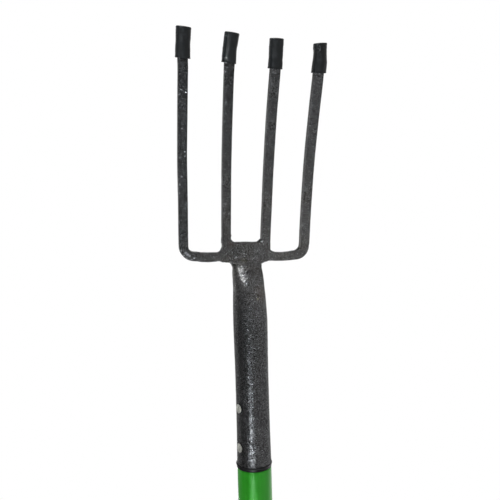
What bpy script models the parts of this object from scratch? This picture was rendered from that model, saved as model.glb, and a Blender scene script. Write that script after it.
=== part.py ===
"""Border fork: a welded four-tine head on a riveted socket, a tubular shaft with a
plastic sleeve, a D-shaped grip, and a push-on cap over each tine's tip.

Metres, +Z up. The fork hangs with its tines up and its grip down, and its front faces -Y.
The origin is on the shaft's axis, level with the underside of the crown's two arms,
where a tool rack's pegs hold the fork.
"""

import math

import bmesh
import bpy
from mathutils import Matrix, Vector

# Gap between pieces that touch, and clearance of pieces that fit in or over each other
SEAT_GAP = 0.0003
FIT_CLEARANCE = 0.0003

# Edges that turn by more than this are shaded sharp
SHARP_ANGLE = math.radians(35.0)

# Tine bars
BAR_WIDTH = 0.0091
BAR_THICKNESS = 0.0099
BAR_CORNER = 0.0014
TIP_LENGTH = 0.0120
TIP_WIDTH = 0.0040
TIP_CORNER = 0.0010

# How far each tine reaches along its curve, from the underside of the arms to its tip
OUTER_LEFT_REACH = 0.2202
INNER_LEFT_REACH = 0.2186
INNER_RIGHT_REACH = 0.2162
OUTER_RIGHT_REACH = 0.2150

# The head's curve: it leans forward at the crown and bends on round the radius
HEAD_LEAN = math.radians(7.55)
HEAD_RADIUS = 0.7150
HEAD_SETBACK = 0.0129

# Where the tines stand across the head, and how they spread towards their tips
OUTER_TINE_X = 0.0643
INNER_TINE_X = 0.0208
OUTER_LEFT_SPREAD = 0.0118
INNER_LEFT_SPREAD = 0.0100
INNER_RIGHT_SPREAD = 0.0086
OUTER_RIGHT_SPREAD = 0.0141
ARM_HEIGHT = 0.0092
ARM_BEND_RADIUS = 0.0118

# Crown plate and the welds on it
CROWN_HALF_WIDTH = 0.0257
CROWN_HEIGHT = 0.0197
CROWN_EDGE = 0.0008
ARM_WELD_LENGTH = 0.0032
ARM_WELD_RISE = 0.0024
TINE_WELD_HEIGHT = 0.0046
TINE_WELD_REACH = 0.0042
TINE_WELD_POWER = 1.4
WELD_BULGE = 0.0004

# Shaft tube and the socket round it
TUBE_RADIUS = 0.0144
TUBE_WALL = 0.0015
SOCKET_WALL = 0.0022
SOCKET_LENGTH = 0.2027
BORE_LENGTH = 0.1560
SHOULDER_DROP = 0.0600
SHOULDER_SWELL = 0.0006
SHOULDER_SPAN = 0.0600
MOUTH_FLARE = 0.0004
MOUTH_SPAN = 0.0400
NECK_HALF_WIDTH = 0.0143
NECK_DROP = 0.0065
NECK_POWER = 1.5
NECK_ROUND_START = 0.15
NECK_ROUND_SPAN = 0.0360
CROWN_BLEND = 0.0030
CROWN_FILLET = 0.0065

# Collar, rivets and sleeve
COLLAR_HEIGHT = 0.0045
COLLAR_LIP = 0.0008
COLLAR_EDGE = 0.0010
TUBE_EDGE = 0.0003
RIVET_SHANK_RADIUS = 0.0026
RIVET_HEAD_RADIUS = 0.0050
RIVET_DOME = 0.0007
RIVET_SHOULDER = 0.0003
RIVET_TURN = math.radians(12.0)
RIVET_RISE = 0.0165
RIVET_PITCH = 0.0390
SLEEVE_WALL = 0.0025
SLEEVE_LENGTH = 0.3820
SLEEVE_EDGE = 0.0005

# D-shaped grip
GRIP_SOCKET_WALL = 0.0036
GRIP_SOCKET_DEPTH = 0.0580
GRIP_RIM_BEAD = 0.0010
GRIP_RIM_HEIGHT = 0.0080
GRIP_NECK_RISE = 0.0058
GRIP_FOOT_INSET = 0.0005
GRIP_FOOT_CORNER = 0.0069
GRIP_PIN_DROP = 0.0270
GRIP_PIN_SHANK_RADIUS = 0.0020
GRIP_PIN_HEAD_RADIUS = 0.0040
GRIP_APEX_DROP = 0.0080
GRIP_APEX_HALF_WIDTH = 0.0100
GRIP_HALF_WIDTH = 0.0500
GRIP_SPREAD_HEIGHT = 0.0340
GRIP_SIDE_HEIGHT = 0.0440
GRIP_APEX_RADIUS = 0.0120
GRIP_SHOULDER_RADIUS = 0.0240
GRIP_CORNER_RADIUS = 0.0160
GRIP_ARM_HALF_HEIGHT = 0.0065
GRIP_ARM_HALF_DEPTH = 0.0092
GRIP_BAR_HALF_HEIGHT = 0.0098
GRIP_BAR_HALF_DEPTH = 0.0112
CUSHION_END_MARGIN = 0.0010
CUSHION_WALL = 0.0028
CUSHION_EDGE = 0.0014
CUSHION_RIDGE = 0.0007
CUSHION_RIDGES = 8

# Tip caps
CAP_COVER = 0.0245
CAP_WALL = 0.0007
CAP_END_WALL = 0.0020
CAP_HEADROOM = 0.0006
CAP_WAIST = 0.0002
CAP_LIP = 0.0002
CAP_EDGE = 0.0012
CAP_END_FLAT = 0.0006

# Shares of a cap's length where its lip, its waist and its narrower end lie
CAP_LIP_SHARE = 0.12
CAP_WAIST_SHARES = (0.36, 0.54)
CAP_END_SHARE = 0.76

# How far each soft cap leans, and how much it draws in, past the full width of its tine
OUTER_LEFT_CAP_LEAN = math.radians(2.0)
INNER_LEFT_CAP_LEAN = math.radians(7.0)
INNER_RIGHT_CAP_LEAN = math.radians(-3.0)
OUTER_RIGHT_CAP_LEAN = math.radians(-4.0)
OUTER_LEFT_CAP_NARROWING = 0.0002
INNER_LEFT_CAP_NARROWING = 0.0004
INNER_RIGHT_CAP_NARROWING = 0.0004
OUTER_RIGHT_CAP_NARROWING = 0.0007

LEFT, RIGHT = -1, 1


def smooth(value):
    """0 to 1 with level ends, for a value that runs from 0 to 1."""
    value = max(0.0, min(1.0, value))
    return value * value * (3.0 - 2.0 * value)


def mix(first, second, share):
    return first + (second - first) * share


def material(name, colour, roughness, metallic):
    made = bpy.data.materials.new(name)
    made.use_nodes = True
    shader = made.node_tree.nodes["Principled BSDF"]
    shader.inputs["Base Color"].default_value = (*colour, 1.0)
    shader.inputs["Roughness"].default_value = roughness
    shader.inputs["Metallic"].default_value = metallic
    made.diffuse_color = (*colour, 1.0)
    return made


def mesh_object(name, bm, finish):
    """A named object from a closed bmesh, with smooth shading up to its sharp edges."""
    bmesh.ops.recalc_face_normals(bm, faces=bm.faces)
    mesh = bpy.data.meshes.new(name)
    bm.to_mesh(mesh)
    bm.free()
    mesh.shade_smooth()
    mesh.set_sharp_from_angle(angle=SHARP_ANGLE)
    mesh.materials.append(finish)
    made = bpy.data.objects.new(name, mesh)
    bpy.context.scene.collection.objects.link(made)
    return made


def lofted(rings, closed_path=False):
    """A closed bmesh through rings of points: capped at both ends, or joined end to end."""
    bm = bmesh.new()
    rows = [[bm.verts.new(point) for point in ring] for ring in rings]
    pairs = list(zip(rows, rows[1:]))
    if closed_path:
        pairs.append((rows[-1], rows[0]))
    for row, after in pairs:
        for i in range(len(row)):
            j = (i + 1) % len(row)
            bm.faces.new((row[i], row[j], after[j], after[i]))
    if not closed_path:
        bm.faces.new(rows[0])
        bm.faces.new(rows[-1])
    return bm


def rounded_box(half_x, half_y, corner, per_corner):
    """Points round a rectangle with round corners; a circle when corner is both half sizes."""
    corner = min(corner, half_x, half_y)
    points = []
    for step in range(4 * per_corner):
        angle = (step + 0.5) / per_corner * math.pi / 2
        x = math.copysign(half_x - corner, math.cos(angle)) + corner * math.cos(angle)
        y = math.copysign(half_y - corner, math.sin(angle)) + corner * math.sin(angle)
        points.append((x, y))
    return points


def turned(profile, segments):
    """Rings round Z for a profile of (radius, height) points, without poles."""
    rings = []
    for radius, height in profile:
        ring = []
        for step in range(segments):
            angle = 2 * math.pi * step / segments
            ring.append(Vector((radius * math.cos(angle), radius * math.sin(angle), height)))
        rings.append(ring)
    return rings


def quarter_round(radius, edge, height, upward, steps=4):
    """Profile points that round off a rim of this radius, from its side to its flat end."""
    points = []
    for step in range(steps + 1):
        angle = math.pi / 2 * step / steps
        sink = edge * (1 - math.sin(angle))
        points.append((radius - edge * (1 - math.cos(angle)), height - upward * sink))
    return points


def on_head(x, along, out, straight_from):
    """A point of the flat head pattern, bent to the head's curve.

    x is across the head, along is up from the arms' underside and out is towards the back.
    From straight_from on the bar runs straight, so that its cap can slide off."""
    curved = min(along, straight_from)
    angle = HEAD_LEAN + curved / HEAD_RADIUS
    fall = HEAD_RADIUS * (math.cos(HEAD_LEAN) - math.cos(angle))
    rise = HEAD_RADIUS * (math.sin(angle) - math.sin(HEAD_LEAN))
    straight = along - curved
    y = HEAD_SETBACK - fall - straight * math.sin(angle) + out * math.cos(angle)
    z = rise + straight * math.cos(angle) + out * math.sin(angle)
    return Vector((x, y, z))


def bar_ring(place, direction, half_width, half_thickness, corner, straight_from):
    """One section of a bar at a place (x, along) of the flat pattern, square to direction."""
    length = math.hypot(*direction)
    across = (direction[1] / length, -direction[0] / length)
    ring = []
    for u, v in rounded_box(half_width, half_thickness, corner, 3):
        ring.append(on_head(place[0] + u * across[0], place[1] + u * across[1], v, straight_from))
    return ring


def tine_straight_from(reach):
    """Where a tine of this reach stops curving: just below the mouth of its cap."""
    return reach - CAP_COVER - CAP_COVER / 4


def tine_rings(x_at_base, spread, first, reach):
    """Sections up a tine, from the place first to its blunt, tapered tip."""
    straight_from = tine_straight_from(reach)
    taper_from = reach - TIP_LENGTH
    curve_steps = 16
    places = [mix(first, straight_from, step / curve_steps) for step in range(curve_steps + 1)]
    places.append(taper_from)
    taper_steps = 4
    taper_power = 1.4
    places += [mix(taper_from, reach, step / taper_steps) for step in range(1, taper_steps + 1)]
    rings = []
    for along in places:
        share = max(0.0, (along - taper_from) / TIP_LENGTH) ** taper_power
        half_width = mix(BAR_WIDTH, TIP_WIDTH, share) / 2
        half_thickness = mix(BAR_THICKNESS, TIP_WIDTH, share) / 2
        corner = mix(BAR_CORNER, TIP_CORNER, share)
        place = (x_at_base + spread * along, along)
        rings.append(bar_ring(place, (spread, 1.0), half_width, half_thickness, corner, straight_from))
    return rings


def inner_tine(name, side, spread, reach, finish):
    first = CROWN_HEIGHT + SEAT_GAP + TINE_WELD_HEIGHT + SEAT_GAP
    rings = tine_rings(side * INNER_TINE_X, side * spread, first, reach)
    return mesh_object(name, lofted(rings), finish)


def outer_tine(name, side, spread, reach, finish):
    """A bar that leaves the crown sideways as an arm and turns up into a tine."""
    straight_from = tine_straight_from(reach)
    middle = ARM_HEIGHT / 2
    arm_start = CROWN_HALF_WIDTH + SEAT_GAP + ARM_WELD_LENGTH + SEAT_GAP
    bend_x = OUTER_TINE_X + spread * middle - ARM_BEND_RADIUS
    rings = []
    arm_steps = 3
    for step in range(arm_steps):
        x = mix(arm_start, bend_x, step / arm_steps)
        rings.append(
            bar_ring(
                (side * x, middle), (side, 0.0), ARM_HEIGHT / 2, BAR_THICKNESS / 2, BAR_CORNER, straight_from
            )
        )
    bend_steps = 8
    for step in range(bend_steps):
        share = step / bend_steps
        angle = math.pi / 2 * share
        x = bend_x + ARM_BEND_RADIUS * math.sin(angle)
        along = middle + ARM_BEND_RADIUS * (1 - math.cos(angle))
        half_width = mix(ARM_HEIGHT, BAR_WIDTH, share) / 2
        direction = (side * math.cos(angle), math.sin(angle))
        rings.append(
            bar_ring((side * x, along), direction, half_width, BAR_THICKNESS / 2, BAR_CORNER, straight_from)
        )
    first = middle + ARM_BEND_RADIUS
    rings += tine_rings(side * OUTER_TINE_X, side * spread, first, reach)
    return mesh_object(name, lofted(rings), finish)


def arm_weld(name, side, finish):
    """Weld metal that fills the joint between the crown's side and an arm."""
    rings = []
    weld_steps = 4
    for step in range(weld_steps + 1):
        share = step / weld_steps
        rise = ARM_WELD_RISE * (1 - share) ** 2
        bulge = WELD_BULGE * math.sin(math.pi * share)
        x = side * (CROWN_HALF_WIDTH + SEAT_GAP + ARM_WELD_LENGTH * share)
        low = -bulge
        high = ARM_HEIGHT + rise + bulge
        ring = []
        for u, v in rounded_box((high - low) / 2, BAR_THICKNESS / 2 + bulge, BAR_CORNER, 3):
            ring.append(on_head(x, (low + high) / 2 + u, v, CROWN_HEIGHT))
        rings.append(ring)
    return mesh_object(name, lofted(rings), finish)


def tine_weld(name, side, spread, finish):
    """Weld foot between the crown's top and an inner tine, filleted towards the middle."""
    bottom = CROWN_HEIGHT + SEAT_GAP
    rings = []
    foot_steps = 5
    for step in range(foot_steps + 1):
        share = step / foot_steps
        along = bottom + TINE_WELD_HEIGHT * share
        centre = INNER_TINE_X + spread * along
        inner = centre - BAR_WIDTH / 2 - TINE_WELD_REACH * (1 - share) ** TINE_WELD_POWER
        outer = min(centre + BAR_WIDTH / 2, CROWN_HALF_WIDTH)
        bulge = WELD_BULGE * math.sin(math.pi * share)
        ring = []
        for u, v in rounded_box((outer - inner) / 2, BAR_THICKNESS / 2 + bulge, BAR_CORNER, 3):
            ring.append(on_head(side * ((inner + outer) / 2 + u), along, v, CROWN_HEIGHT))
        rings.append(ring)
    return mesh_object(name, lofted(rings), finish)


def socket_radius(drop):
    """The socket's outer radius at a drop below the arms, from the shoulder to the mouth."""
    bore = TUBE_RADIUS + FIT_CLEARANCE
    past_shoulder = smooth((drop - SHOULDER_DROP) / SHOULDER_SPAN)
    near_mouth = smooth((drop - (SOCKET_LENGTH - MOUTH_SPAN)) / MOUTH_SPAN)
    return bore + SOCKET_WALL + SHOULDER_SWELL * (1 - past_shoulder) + MOUTH_FLARE * near_mouth


def neck_ring(drop):
    """The forging's section between the socket's round shoulder and the flat crown."""
    shoulder = socket_radius(SHOULDER_DROP)
    rise = (SHOULDER_DROP - drop) / (SHOULDER_DROP + CROWN_BLEND)
    front_share = smooth(rise * rise)
    crown_front = HEAD_SETBACK - BAR_THICKNESS / 2
    crown_back = HEAD_SETBACK + BAR_THICKNESS / 2
    front = mix(-shoulder, crown_front, front_share)
    back = mix(shoulder, crown_back, smooth(rise))
    if drop >= NECK_DROP:
        share = (drop - NECK_DROP) / (SHOULDER_DROP - NECK_DROP)
        half_x = mix(shoulder, NECK_HALF_WIDTH, (1 - share) ** NECK_POWER)
    else:
        half_x = NECK_HALF_WIDTH
        if drop < CROWN_FILLET:
            half_x += CROWN_FILLET - math.sqrt(CROWN_FILLET**2 - (CROWN_FILLET - drop) ** 2)
    half_y = (back - front) / 2
    roundness = smooth(NECK_ROUND_START + drop / NECK_ROUND_SPAN)
    corner = mix(BAR_CORNER, min(half_x, half_y), roundness)
    ring = []
    for x, y in rounded_box(half_x, half_y, corner, 8):
        ring.append(Vector((x, (front + back) / 2 + y, -drop)))
    return ring


def crown_ring(along, inset):
    ring = []
    for x, out in rounded_box(CROWN_HALF_WIDTH - inset, BAR_THICKNESS / 2 - inset, BAR_CORNER, 8):
        ring.append(on_head(x, along, out, CROWN_HEIGHT))
    return ring


def head_socket(finish):
    """The forging: flat crown, flared neck and round socket, bored from its mouth."""
    rings = [crown_ring(CROWN_HEIGHT, CROWN_EDGE), crown_ring(CROWN_HEIGHT - CROWN_EDGE, 0.0)]
    rings += [crown_ring(CROWN_HEIGHT / 2, 0.0), crown_ring(CROWN_BLEND, 0.0)]
    rings.append(crown_ring(CROWN_BLEND / 4, 0.0))
    fillet_steps = 5
    rings += [neck_ring(CROWN_FILLET * (step / fillet_steps) ** 2) for step in range(1, fillet_steps + 1)]
    neck_steps = 8
    for step in range(1, neck_steps + 1):
        rings.append(neck_ring(mix(CROWN_FILLET, SHOULDER_DROP, step / neck_steps)))
    socket_steps = 9
    for step in range(1, socket_steps + 1):
        drop = mix(SHOULDER_DROP, SOCKET_LENGTH, step / socket_steps)
        radius = socket_radius(drop)
        rings.append([Vector((x, y, -drop)) for x, y in rounded_box(radius, radius, radius, 8)])
    bore = TUBE_RADIUS + FIT_CLEARANCE
    bore_top = SOCKET_LENGTH - BORE_LENGTH
    for drop in (SOCKET_LENGTH, bore_top):
        rings.append([Vector((x, y, -drop)) for x, y in rounded_box(bore, bore, bore, 8)])
    return mesh_object("head_socket", lofted(rings), finish)


def ring_piece(name, inner, outer, edge, top, bottom, finish, segments=32):
    """A turned ring with both outer rims rounded."""
    profile = [(inner, top)]
    profile += list(reversed(quarter_round(outer, edge, top, 1)))
    profile += quarter_round(outer, edge, bottom, -1)
    profile.append((inner, bottom))
    return mesh_object(name, lofted(turned(profile, segments), closed_path=True), finish)


def cutter(name, bm):
    """A helper for a Boolean, left out of the model."""
    bmesh.ops.recalc_face_normals(bm, faces=bm.faces)
    mesh = bpy.data.meshes.new(name)
    bm.to_mesh(mesh)
    bm.free()
    made = bpy.data.objects.new(name, mesh)
    made.hide_render = True
    made.display_type = "WIRE"
    bpy.context.scene.collection.objects.link(made)
    return made


def combine(piece, helper, operation):
    modifier = piece.modifiers.new(helper.name, "BOOLEAN")
    modifier.operation = operation
    modifier.solver = "EXACT"
    modifier.object = helper


def cross_rod(name, radius, half_length, drop, turn, segments):
    """A cylinder across the shaft at a drop, turned about the shaft's axis."""
    bm = lofted(turned([(radius, -half_length), (radius, half_length)], segments))
    place = Matrix.Translation((0.0, 0.0, -drop)) @ Matrix.Rotation(turn, 4, "Z")
    bmesh.ops.transform(bm, matrix=place @ Matrix.Rotation(math.pi / 2, 4, "Y"), verts=bm.verts)
    return cutter(name, bm)


def through_rivet(name, drop, turn, shank, head, seat, finish):
    """A rivet right across the shaft, with a domed head set on the round wall at each end."""
    core = shank / 2
    inside = math.sqrt(seat**2 - head**2) - RIVET_SHOULDER
    half_profile = []
    for share in (0.35, 0.75, 1.0):
        half_profile.append((share * head, seat + RIVET_SHOULDER + RIVET_DOME * (1 - share**2)))
    half_profile += [(head, inside), (core, inside)]
    mirrored = [(radius, -height) for radius, height in reversed(half_profile)]
    bm = lofted(turned(half_profile + mirrored, 20))
    place = Matrix.Translation((0.0, 0.0, -drop)) @ Matrix.Rotation(turn, 4, "Z")
    bmesh.ops.transform(bm, matrix=place @ Matrix.Rotation(math.pi / 2, 4, "Y"), verts=bm.verts)
    rivet = mesh_object(name, bm, finish)
    reach = 2 * head
    hollow = inside - head
    wall = turned(
        [
            (seat + SEAT_GAP, -drop + reach),
            (seat + SEAT_GAP, -drop - reach),
            (hollow, -drop - reach),
            (hollow, -drop + reach),
        ],
        48,
    )
    combine(rivet, cutter(name + "_wall", lofted(wall, closed_path=True)), "DIFFERENCE")
    rod = cross_rod(name + "_rod", shank, seat + SEAT_GAP + RIVET_SHOULDER / 2, drop, turn, 20)
    combine(rivet, rod, "UNION")
    return rivet


def loop_path(corners, arc_steps):
    """Points and directions once round a polygon with rounded corners, in the grip's own plane."""
    places = []
    for i, (corner, radius) in enumerate(corners):
        before = (corners[i - 1][0] - corner).normalized()
        after = (corners[(i + 1) % len(corners)][0] - corner).normalized()
        half = before.angle(after) / 2
        centre = corner + (before + after).normalized() * (radius / math.sin(half))
        start = corner + before * (radius / math.tan(half)) - centre
        sweep = math.copysign(math.pi - 2 * half, before.cross(after))
        for step in range(arc_steps + 1):
            turn = Matrix.Rotation(-sweep * step / arc_steps, 2)
            places.append((centre + turn @ start, turn @ -before))
    return places


def grip_drops(rim):
    """Drops of the grip's socket end, loop top, loop shoulders and crossbar, below its rim."""
    end = rim + GRIP_SOCKET_DEPTH
    apex = end + GRIP_APEX_DROP
    shoulder = apex + GRIP_SPREAD_HEIGHT
    return end, apex, shoulder, shoulder + GRIP_SIDE_HEIGHT


def grip_loop(apex, shoulder, bar):
    """The D-shaped loop: a closed sweep whose section is deepest along the crossbar."""
    corners = (
        (Vector((GRIP_APEX_HALF_WIDTH, -apex)), GRIP_APEX_RADIUS),
        (Vector((GRIP_HALF_WIDTH, -shoulder)), GRIP_SHOULDER_RADIUS),
        (Vector((GRIP_HALF_WIDTH, -bar)), GRIP_CORNER_RADIUS),
        (Vector((-GRIP_HALF_WIDTH, -bar)), GRIP_CORNER_RADIUS),
        (Vector((-GRIP_HALF_WIDTH, -shoulder)), GRIP_SHOULDER_RADIUS),
        (Vector((-GRIP_APEX_HALF_WIDTH, -apex)), GRIP_APEX_RADIUS),
    )
    rings = []
    for place, direction in loop_path(corners, 6):
        low = smooth(1.0 - (place.y + bar) / GRIP_CORNER_RADIUS)
        half_height = mix(GRIP_ARM_HALF_HEIGHT, GRIP_BAR_HALF_HEIGHT, low)
        half_depth = mix(GRIP_ARM_HALF_DEPTH, GRIP_BAR_HALF_DEPTH, low)
        corner = min(half_height, half_depth) * mix(0.8, 1.0, low)
        ring = []
        for u, v in rounded_box(half_height, half_depth, corner, 4):
            ring.append(Vector((place.x + direction.y * u, v, place.y - direction.x * u)))
        rings.append(ring)
    return cutter("grip_loop", lofted(rings, closed_path=True))


def grip_body(finish, rim):
    """The moulded grip: a socket for the tube, a neck, and a D-shaped loop for the hand."""
    end, apex, shoulder, bar = grip_drops(rim)
    outer = TUBE_RADIUS + FIT_CLEARANCE + GRIP_SOCKET_WALL
    bead = outer + GRIP_RIM_BEAD
    soft = 0.8 * GRIP_RIM_BEAD
    hub = []
    for radius, drop in (
        (bead - soft, rim),
        (bead, rim + soft),
        (bead, rim + GRIP_RIM_HEIGHT - soft),
        (bead - soft, rim + GRIP_RIM_HEIGHT),
        (outer, rim + GRIP_RIM_HEIGHT + GRIP_RIM_BEAD / 2),
        (outer, end - GRIP_NECK_RISE),
    ):
        hub.append([Vector((x, y, -drop)) for x, y in rounded_box(radius, radius, radius, 8)])
    foot = GRIP_ARM_HALF_HEIGHT / 2
    neck_steps = 5
    for step in range(1, neck_steps + 1):
        share = step / neck_steps
        drop = mix(end - GRIP_NECK_RISE, apex + foot, share)
        half_x = mix(outer, GRIP_APEX_HALF_WIDTH + foot, smooth(share))
        half_y = mix(outer, GRIP_ARM_HALF_DEPTH - GRIP_FOOT_INSET, smooth(share))
        corner = mix(outer, GRIP_FOOT_CORNER, smooth(share))
        hub.append([Vector((x, y, -drop)) for x, y in rounded_box(half_x, half_y, corner, 8)])
    grip = mesh_object("grip_body", lofted(hub), finish)
    combine(grip, grip_loop(apex, shoulder, bar), "UNION")
    bore = TUBE_RADIUS + FIT_CLEARANCE
    bore_cut = lofted(turned([(bore, -rim + bore), (bore, -end)], 32))
    combine(grip, cutter("grip_bore", bore_cut), "DIFFERENCE")
    return grip


def cushion_end(steps=2):
    """How a rounded end runs: distance outwards and drop of the surface, from flat to end."""
    points = []
    for step in range(steps + 1):
        angle = math.pi / 2 * step / steps
        points.append((CUSHION_EDGE * math.sin(angle), CUSHION_EDGE * (1 - math.cos(angle))))
    return points


def grip_cushion(finish, bar_drop):
    """The soft sleeve moulded round the grip's crossbar, with shallow ridges."""
    inner_height = GRIP_BAR_HALF_HEIGHT + SEAT_GAP
    inner_depth = GRIP_BAR_HALF_DEPTH + SEAT_GAP
    half = GRIP_HALF_WIDTH - GRIP_CORNER_RADIUS - CUSHION_END_MARGIN
    wall = CUSHION_WALL - CUSHION_RIDGE
    end_curve = [(half - CUSHION_EDGE + rise, wall - sink) for rise, sink in cushion_end()]
    places = [(-x, height) for x, height in reversed(end_curve)]
    steps = 2 * CUSHION_RIDGES
    flat_half = half - CUSHION_EDGE
    for step in range(1, steps):
        ridge = CUSHION_RIDGE if step % 2 else 0.0
        places.append((mix(-flat_half, flat_half, step / steps), wall + ridge))
    places += end_curve
    places += [(half, 0.0), (-half, 0.0)]
    rings = []
    for x, wall in places:
        half_height = inner_height + wall
        half_depth = inner_depth + wall
        ring = []
        for u, v in rounded_box(half_height, half_depth, min(half_height, half_depth), 6):
            ring.append(Vector((x, v, -bar_drop + u)))
        rings.append(ring)
    return mesh_object("grip_cushion", lofted(rings, closed_path=True), finish)


def tip_cap(name, x_at_base, spread, reach, lean, narrowing, finish):
    """A push-on cap: a closed tube that grips the tine's straight end."""
    straight_from = tine_straight_from(reach)
    corner_reach = BAR_CORNER + math.hypot(BAR_WIDTH / 2 - BAR_CORNER, BAR_THICKNESS / 2 - BAR_CORNER)
    bore = corner_reach + FIT_CLEARANCE
    radius = bore + CAP_WALL
    end_radius = radius - narrowing
    inner_length = CAP_COVER + CAP_HEADROOM
    length = inner_length + CAP_END_WALL
    profile = [(end_radius - CAP_EDGE - CAP_END_FLAT, length)]
    profile += list(reversed(quarter_round(end_radius, CAP_EDGE, length, 1)))
    profile.append((end_radius, CAP_END_SHARE * length))
    profile += [(radius - CAP_WAIST, share * length) for share in reversed(CAP_WAIST_SHARES)]
    profile.append((radius, CAP_LIP_SHARE * length))
    profile.append((radius + CAP_LIP, 0.0))
    tapered_from = CAP_COVER - TIP_LENGTH
    profile += [(bore, 0.0), (bore, tapered_from)]
    profile += [(bore - narrowing, mix(tapered_from, inner_length, share)) for share in (0.6, 1.0)]
    rings = turned(profile, 20)
    for ring in rings:
        for point in ring:
            point.x += math.tan(lean) * max(0.0, point.z - tapered_from)
    cap = mesh_object(name, lofted(rings), finish)
    mouth = reach - CAP_COVER
    base = on_head(x_at_base + spread * mouth, mouth, 0.0, straight_from)
    tip = on_head(x_at_base + spread * reach, reach, 0.0, straight_from)
    along = (tip - base).normalized()
    across = (Vector((1.0, 0.0, 0.0)) - along * along.x).normalized()
    turn = Matrix((across, along.cross(across), along)).transposed()
    cap.matrix_world = Matrix.Translation(base) @ turn.to_4x4()
    return cap


def build():
    for item in list(bpy.data.objects):
        bpy.data.objects.remove(item)

    head_paint = material("hammered_grey_paint", (0.050, 0.052, 0.053), 0.42, 0.35)
    cap_vinyl = material("black_vinyl", (0.012, 0.013, 0.015), 0.45, 0.0)
    collar_black = material("black_collar", (0.010, 0.010, 0.011), 0.38, 0.0)
    rivet_metal = material("rivet_metal", (0.36, 0.36, 0.33), 0.42, 0.80)
    tube_steel = material("tube_steel", (0.42, 0.43, 0.44), 0.35, 1.0)
    green_sleeve = material("green_sleeve", (0.045, 0.230, 0.035), 0.22, 0.0)
    grip_plastic = material("grip_plastic", (0.014, 0.014, 0.015), 0.40, 0.0)
    grip_rubber = material("grip_rubber", (0.020, 0.021, 0.022), 0.62, 0.0)

    head = head_socket(head_paint)
    outer_tine("tine_outer_left", LEFT, OUTER_LEFT_SPREAD, OUTER_LEFT_REACH, head_paint)
    inner_tine("tine_inner_left", LEFT, INNER_LEFT_SPREAD, INNER_LEFT_REACH, head_paint)
    inner_tine("tine_inner_right", RIGHT, INNER_RIGHT_SPREAD, INNER_RIGHT_REACH, head_paint)
    outer_tine("tine_outer_right", RIGHT, OUTER_RIGHT_SPREAD, OUTER_RIGHT_REACH, head_paint)
    arm_weld("weld_outer_left", LEFT, head_paint)
    arm_weld("weld_outer_right", RIGHT, head_paint)
    tine_weld("weld_inner_left", LEFT, INNER_LEFT_SPREAD, head_paint)
    tine_weld("weld_inner_right", RIGHT, INNER_RIGHT_SPREAD, head_paint)

    outer_left = (LEFT * OUTER_TINE_X, LEFT * OUTER_LEFT_SPREAD, OUTER_LEFT_REACH)
    inner_left = (LEFT * INNER_TINE_X, LEFT * INNER_LEFT_SPREAD, INNER_LEFT_REACH)
    inner_right = (RIGHT * INNER_TINE_X, RIGHT * INNER_RIGHT_SPREAD, INNER_RIGHT_REACH)
    outer_right = (RIGHT * OUTER_TINE_X, RIGHT * OUTER_RIGHT_SPREAD, OUTER_RIGHT_REACH)
    for place, tine, lean, narrowing in (
        ("outer_left", outer_left, OUTER_LEFT_CAP_LEAN, OUTER_LEFT_CAP_NARROWING),
        ("inner_left", inner_left, INNER_LEFT_CAP_LEAN, INNER_LEFT_CAP_NARROWING),
        ("inner_right", inner_right, INNER_RIGHT_CAP_LEAN, INNER_RIGHT_CAP_NARROWING),
        ("outer_right", outer_right, OUTER_RIGHT_CAP_LEAN, OUTER_RIGHT_CAP_NARROWING),
    ):
        tip_cap("tip_cap_" + place, *tine, lean, narrowing, cap_vinyl)

    collar_top = SOCKET_LENGTH + SEAT_GAP
    collar_bottom = collar_top + COLLAR_HEIGHT
    tube_hole = TUBE_RADIUS + FIT_CLEARANCE
    collar_radius = socket_radius(SOCKET_LENGTH) + COLLAR_LIP
    ring_piece(
        "socket_collar", tube_hole, collar_radius, COLLAR_EDGE, -collar_top, -collar_bottom, collar_black
    )
    sleeve_top = collar_bottom + SEAT_GAP
    sleeve_bottom = sleeve_top + SLEEVE_LENGTH
    sleeve_radius = tube_hole + SLEEVE_WALL
    ring_piece(
        "shaft_sleeve", tube_hole, sleeve_radius, SLEEVE_EDGE, -sleeve_top, -sleeve_bottom, green_sleeve
    )

    rim = sleeve_bottom + SEAT_GAP
    tube_top = SOCKET_LENGTH - BORE_LENGTH + SEAT_GAP
    tube_bottom = rim + GRIP_SOCKET_DEPTH - SEAT_GAP
    tube = ring_piece(
        "shaft_tube", TUBE_RADIUS - TUBE_WALL, TUBE_RADIUS, TUBE_EDGE, -tube_top, -tube_bottom, tube_steel
    )
    grip = grip_body(grip_plastic, rim)
    grip_cushion(grip_rubber, grip_drops(rim)[3])

    for word, rise in (("upper", RIVET_RISE + RIVET_PITCH), ("lower", RIVET_RISE)):
        drop = SOCKET_LENGTH - rise
        seat = socket_radius(drop)
        name = "socket_rivet_" + word
        through_rivet(name, drop, RIVET_TURN, RIVET_SHANK_RADIUS, RIVET_HEAD_RADIUS, seat, rivet_metal)
        hole = cross_rod(
            name + "_hole", RIVET_SHANK_RADIUS + FIT_CLEARANCE, 2 * seat, drop, RIVET_TURN, 20
        )
        combine(head, hole, "DIFFERENCE")
        combine(tube, hole, "DIFFERENCE")
    pin_drop = rim + GRIP_PIN_DROP
    grip_outer = tube_hole + GRIP_SOCKET_WALL
    pin_turn = math.pi / 2
    through_rivet(
        "grip_rivet", pin_drop, pin_turn, GRIP_PIN_SHANK_RADIUS, GRIP_PIN_HEAD_RADIUS, grip_outer, rivet_metal
    )
    pin_hole = cross_rod(
        "grip_rivet_hole", GRIP_PIN_SHANK_RADIUS + FIT_CLEARANCE, 2 * grip_outer, pin_drop, pin_turn, 20
    )
    combine(grip, pin_hole, "DIFFERENCE")
    combine(tube, pin_hole, "DIFFERENCE")


build()
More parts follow.
